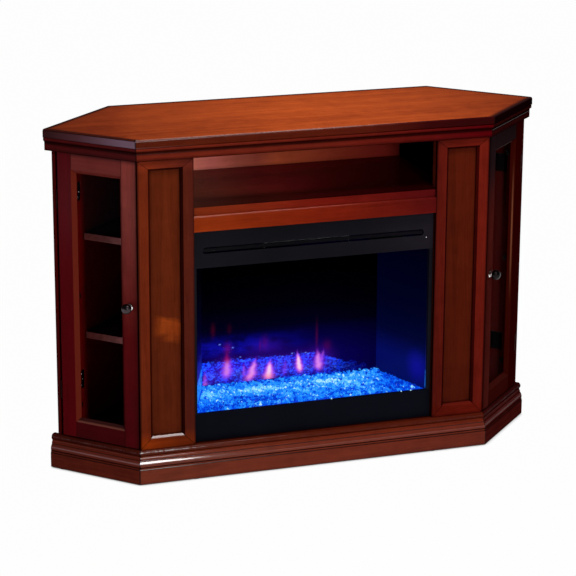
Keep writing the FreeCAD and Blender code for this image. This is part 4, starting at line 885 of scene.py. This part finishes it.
def make_bed():
    rng = random.Random(SEED)
    low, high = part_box("glass_bed")
    shapes = chip_shapes(rng, CHIP_SHAPES)
    corners, faces, glow = [], [], []

    def depth(y):
        return (y - low.y) / (high.y - low.y)

    def half_width(y):
        return high.x - depth(y) * BED_TAPER

    def add_chip(x, y, z, size, value):
        points, sides = shapes[rng.randrange(len(shapes))]
        turn = Euler([rng.uniform(0, FULL_TURN) for _ in range(3)]).to_matrix()
        start = len(corners)
        for point in points:
            corners.append(turn @ (point * size) + Vector((x, y, z)))
            glow.append(min(1.0, max(0.0, value + rng.uniform(-0.07, 0.07))))
        faces.extend([start + index for index in side] for side in sides)

    for level in (low.z, high.z - BED_CRUST):
        for y in (low.y, high.y):
            for side in (-1, 1):
                corners.append(Vector((side * (half_width(y) - 0.0005), y, level)))
                glow.append(BLOCK_GLOW)
    faces.extend([[0, 2, 3, 1], [4, 5, 7, 6], [0, 1, 5, 4], [2, 6, 7, 3], [0, 4, 6, 2], [1, 3, 7, 5]])
    for _ in range(CHIP_COUNT):
        y = rng.uniform(low.y + 0.004, high.y - 0.004)
        x = rng.uniform(-1.0, 1.0) * (half_width(y) - 0.005)
        size = rng.uniform(*CHIP_SIZES)
        surface = high.z - 0.002 * (1.0 - depth(y)) + 0.0012 * math.sin(31.0 * x + 1.0) * math.sin(43.0 * y)
        z = surface - size * rng.uniform(0.05, 0.75)
        add_chip(x, y, z, size, glow_at(x, y, rng))
    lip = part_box("firebox_apron")[1].z
    for x, y in LOOSE:
        add_chip(x, y, lip + LOOSE_RISE, LOOSE_SIZE, 1.0)
    data = bpy.data.meshes.new("crushed_glass")
    data.from_pydata(corners, [], faces)
    data.attributes.new("glow", "FLOAT", "POINT").data.foreach_set("value", glow)
    piece = add_object("crushed_glass", data)
    data.materials.append(crushed_glass_material())
    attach(piece, "mantel")
    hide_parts("glass_bed")


def crushed_glass_material():
    mat = Surface("glass_crushed")
    glow = mat.attribute("glow", "Fac").ramp(*GLASS_GLOW)
    return mat.principled(Roughness=0.12, Specular_IOR_Level=0.15, Base_Color=(0.004, 0.03, 0.12),
                          Emission_Color=glow, Emission_Strength=1.0)


# Flames on the mirror screen: foot x and z, tip x and z, half width, strength, warm foot, red tip
FLAMES = (
    (-0.164, 0.17, -0.161, 0.228, 0.0185, 0.66, 0.0, 1.0),
    (-0.105, 0.157, -0.089, 0.21, 0.018, 0.78, 0.3, 0.0),
    (-0.119, 0.166, -0.12, 0.2, 0.008, 0.36, 0.0, 0.2),
    (-0.057, 0.154, -0.051, 0.202, 0.0172, 0.97, 0.6, 0.0),
    (0.025, 0.166, 0.018, 0.216, 0.0125, 1.0, 0.1, 0.0),
    (0.074, 0.166, 0.0705, 0.216, 0.017, 0.76, 0.0, 0.2),
    (0.08, 0.184, 0.087, 0.216, 0.009, 0.4, 0.0, 0.0),
    (-0.219, 0.15, -0.218, 0.186, 0.01, 0.42, 0.5, 0.4),
    (-0.016, 0.16, -0.012, 0.2, 0.011, 0.26, 0.0, 0.0),
)
# dim red streaks above them: x, middle z, half width, half height, strength
STREAKS = (
    (0.068, 0.246, 0.0032, 0.036, 0.14), (-0.1975, 0.29, 0.0055, 0.016, 0.1),
    (-0.066, 0.245, 0.009, 0.016, 0.13), (-0.078, 0.24, 0.0024, 0.012, 0.2),
    (-0.161, 0.24, 0.009, 0.013, 0.3), (0.095, 0.222, 0.01, 0.014, 0.12),
    (-0.156, 0.29, 0.006, 0.012, 0.05),
)
# soft violet glow around the flames: x, z, half width, half height, strength
HALOS = (
    (-0.163, 0.186, 0.028, 0.03, 0.3), (-0.1, 0.18, 0.032, 0.028, 0.32),
    (-0.056, 0.174, 0.028, 0.024, 0.3), (0.022, 0.184, 0.026, 0.026, 0.26),
    (0.074, 0.188, 0.03, 0.028, 0.34), (-0.02, 0.186, 0.034, 0.024, 0.2),
    (-0.208, 0.17, 0.018, 0.024, 0.24), (-0.06, 0.232, 0.04, 0.018, 0.12),
)
HALO_TONE, STREAK_TONE = (0.14, 0.014, 0.74), (0.3, 0.004, 0.03)
# tone of a flame's outside, then of what lies within: strengths over which it takes over, and its tone
FLAME_OUTSIDE = (0.14, 0.012, 0.78)
FLAME_INSIDE = ((0.05, 0.42, (0.5, 0.1, 0.9)), (0.4, 0.7, (0.78, 0.24, 0.92)),
                (0.7, 1.0, (1.0, 0.66, 0.94)))
FOOT_TONE, TIP_TONE = (1.0, 0.22, 0.34), (0.42, 0.006, 0.14)
# sheet that carries them: first and last x, first and last z, mesh size, gap to the screen, least opacity
SHEET_X, SHEET_Z = (-0.224, 0.13), (0.1515, 0.312)
SHEET_STEP, SHEET_GAP, SHEET_LEAST = 0.0012, 0.0015, 0.003


def ease(low, high, value):
    share = min(1.0, max(0.0, (value - low) / (high - low)))
    return share * share * (3.0 - 2.0 * share)


def blend(first, second, share):
    return tuple(a + (b - a) * share for a, b in zip(first, second))


def flame_light(x, z):
    """Colour and opacity of the flames' image at one place on the screen."""
    light = (0.0, 0.0, 0.0)
    cover = 0.0

    def lay(colour, share):
        nonlocal light, cover
        light = tuple(old * (1 - share) + new * share for old, new in zip(light, colour))
        cover = 1.0 - (1.0 - cover) * (1.0 - share)

    for patches, tone, fall in ((HALOS, HALO_TONE, 1.0), (STREAKS, STREAK_TONE, 1.2)):
        for cx, cz, wide, tall, strength in patches:
            far = ((x - cx) / wide) ** 2 + ((z - cz) / tall) ** 2
            if far < 6.0:
                lay(tone, strength * math.exp(-fall * far))
    for foot_x, foot_z, tip_x, tip_z, half, strength, warm, tip in FLAMES:
        rise = (z - foot_z) / (tip_z - foot_z)
        if not -0.3 < rise < 1.25:
            continue
        wave = noise.noise(Vector((foot_x * 90.0, z * 130.0, 0.5)))
        middle = foot_x + (tip_x - foot_x) * rise + 0.14 * half * wave
        body = max(0.22, max(0.0, 1.0 - rise) ** 0.62 * min(1.0, 0.75 + 1.2 * max(rise, -0.25)))
        off = (x - middle) / (half * body)
        share = math.exp(-1.25 * off * off) * ease(-0.3, 0.15, rise) * (1.0 - ease(0.55, 1.18, rise))
        share *= strength
        if share < 0.004:
            continue
        colour = FLAME_OUTSIDE
        for low, high, tone in FLAME_INSIDE:
            colour = blend(colour, tone, ease(low, high, share))
        colour = blend(colour, FOOT_TONE, warm * (1.0 - ease(0.05, 0.35, rise)))
        colour = blend(colour, TIP_TONE, tip * ease(0.4, 0.8, rise))
        lay(colour, min(0.97, share * 1.25))
    if cover > 0.0:
        light = tuple(c / cover for c in light)
    return (*light, cover)


def make_flames():
    """One fine sheet before the screen whose corners carry the colour and opacity of the flames."""
    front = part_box("flame_screen")[0].y - SHEET_GAP
    columns = round((SHEET_X[1] - SHEET_X[0]) / SHEET_STEP)
    rows = round((SHEET_Z[1] - SHEET_Z[0]) / SHEET_STEP)
    corners, faces, tones = [], [], []
    for row in range(rows + 1):
        for column in range(columns + 1):
            x, z = SHEET_X[0] + column * SHEET_STEP, SHEET_Z[0] + row * SHEET_STEP
            corners.append((x, front, z))
            tones.extend(flame_light(x, z))
    for row in range(rows):
        for column in range(columns):
            index = row * (columns + 1) + column
            ends = (index, index + 1, index + columns + 2, index + columns + 1)
            if max(tones[4 * end + 3] for end in ends) > SHEET_LEAST:
                faces.append(ends)
    data = bpy.data.meshes.new("flame_image")
    data.from_pydata(corners, [], faces)
    data.attributes.new("tone", "FLOAT_COLOR", "POINT").data.foreach_set("color", tones)
    used = bmesh.new()
    used.from_mesh(data)
    bmesh.ops.delete(used, geom=[v for v in used.verts if not v.link_faces], context="VERTS")
    used.to_mesh(data)
    used.free()
    piece = add_object("flame_image", data)
    data.materials.append(flame_material())
    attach(piece, "mantel")


def flame_material():
    mat = Surface("flame_light")
    light = mat.add("Emission", Color=mat.attribute("tone", "Color"))
    return mat.layered(mat.attribute("tone", "Alpha"), mat.add("BsdfTransparent"), light)


# screws in the louvre, and the radii of their heads and of those in the hinge plates
LOUVRE_SCREWS = ((-0.2428, -0.1508, 0.544), (0.2791, -0.1596, 0.5352))
LOUVRE_HEAD, PLATE_HEAD = 0.0017, 0.003
# hinge plates: middle of the face on the right, heights, and screws on it as pairs of along and up
PLATE_X, PLATE_Y, PLATE_HEIGHTS = 0.53825, 0.0137, (0.1965, 0.6595)
PLATE_SCREWS = ((0.025, 0.0135), (0.0305, 0.0), (0.025, -0.0135), (0.012, 0.0))


def make_screws():
    """Bright heads of the screws in the louvre and in the hinge plates."""
    heads = [(place, 0.0, LOUVRE_HEAD) for place in LOUVRE_SCREWS]
    for side in (-1, 1):
        for level in PLATE_HEIGHTS:
            for along, up in PLATE_SCREWS:
                place = (side * (PLATE_X - along * COS_45), PLATE_Y + along * COS_45, level + up)
                heads.append((place, -side * math.radians(45.0), PLATE_HEAD))
    mesh = bmesh.new()
    for place, turn, radius in heads:
        verts = bmesh.ops.create_uvsphere(mesh, u_segments=16, v_segments=8, radius=radius)["verts"]
        bmesh.ops.scale(mesh, vec=(1.0, 0.5, 1.0), verts=verts)
        bmesh.ops.rotate(mesh, matrix=Matrix.Rotation(turn, 3, "Z"), verts=verts)
        bmesh.ops.translate(mesh, vec=place, verts=verts)
    for face in mesh.faces:
        face.smooth = True
    data = bpy.data.meshes.new("screw_heads")
    mesh.to_mesh(data)
    mesh.free()
    piece = add_object("screw_heads", data)
    data.materials.append(grained(METAL, "screw_bright", (0.55, 0.55, 0.58), 0.15, 0.25))
    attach(piece, "mantel")


# Stage and light

# half the floor's side, its tone under lamps, the reach of its contact shadow, and the world's tone
FLOOR_SIZE, FLOOR_TONE, CONTACT_REACH = 14.0, (0.55, 0.55, 0.55), 0.02
WORLD_TONE = (0.05, 0.05, 0.052, 1.0)
# lamps: name, place, target, width and height, watts, colour
LAMPS = (
    ("key", (0.15, -2.3, 1.3), (-0.1, 0.0, 0.5), (0.28, 1.6), 12.0, EVEN),
    ("overhead", (0.07, 0.12, 1.78), (0.03, 0.0, 0.8), (0.9, 0.5), 7.0, EVEN),
    ("front_top", (0.15, -0.75, 1.85), (0.0, -0.2, 0.4), (0.7, 0.35), 5.5, EVEN),
    ("left_low", (-2.34, -0.78, 0.16), (-0.5, -0.1, 0.6), (0.8, 0.25), 3.0, (0.92, 0.86, 1.0)),
    ("bay_fill", (-0.13, -0.13, 0.762), (-0.13, 0.17, 0.835), (0.26, 0.02), 0.5, EVEN),
)


def make_floor():
    """Pale floor that cameras, mirrors and glass see as white, with a contact shadow."""
    mesh = bmesh.new()
    bmesh.ops.create_grid(mesh, x_segments=1, y_segments=1, size=FLOOR_SIZE)
    data = bpy.data.meshes.new("floor")
    mesh.to_mesh(data)
    mesh.free()
    floor = add_object("floor", data)
    mat = Surface("floor_pale")
    camera, glossy, clear = (mat.get("LightPath", "Is %s Ray" % kind)
                             for kind in ("Camera", "Glossy", "Transmission"))
    seen = mat.math("MAXIMUM", mat.math("MAXIMUM", camera, glossy), clear)
    contact = mat.openness(CONTACT_REACH).ramp((0.05, 0.0), (0.75, 0.985))
    diffuse = mat.add("BsdfDiffuse", Color=FLOOR_TONE)
    data.materials.append(mat.layered(seen * contact, diffuse, mat.add("Emission")))


def make_light():
    for name, place, target, size, power, colour in LAMPS:
        data = bpy.data.lights.new(name, "AREA")
        data.shape = "RECTANGLE"
        data.size, data.size_y = size
        data.energy = power
        data.color = colour
        lamp = add_object(name, data)
        lamp.location = place
        lamp.rotation_euler = (Vector(target) - Vector(place)).to_track_quat("-Z", "Y").to_euler()
        lamp.visible_camera = False
    scene.world = bpy.data.worlds.new("studio")
    scene.world.use_nodes = True
    scene.world.node_tree.nodes["Background"].inputs["Color"].default_value = WORLD_TONE


make_camera()
dress_front()
for word, end in ENDS.items():
    dress_end(word, end)
dress_works()
make_bed()
make_flames()
make_screws()
make_floor()
make_light()
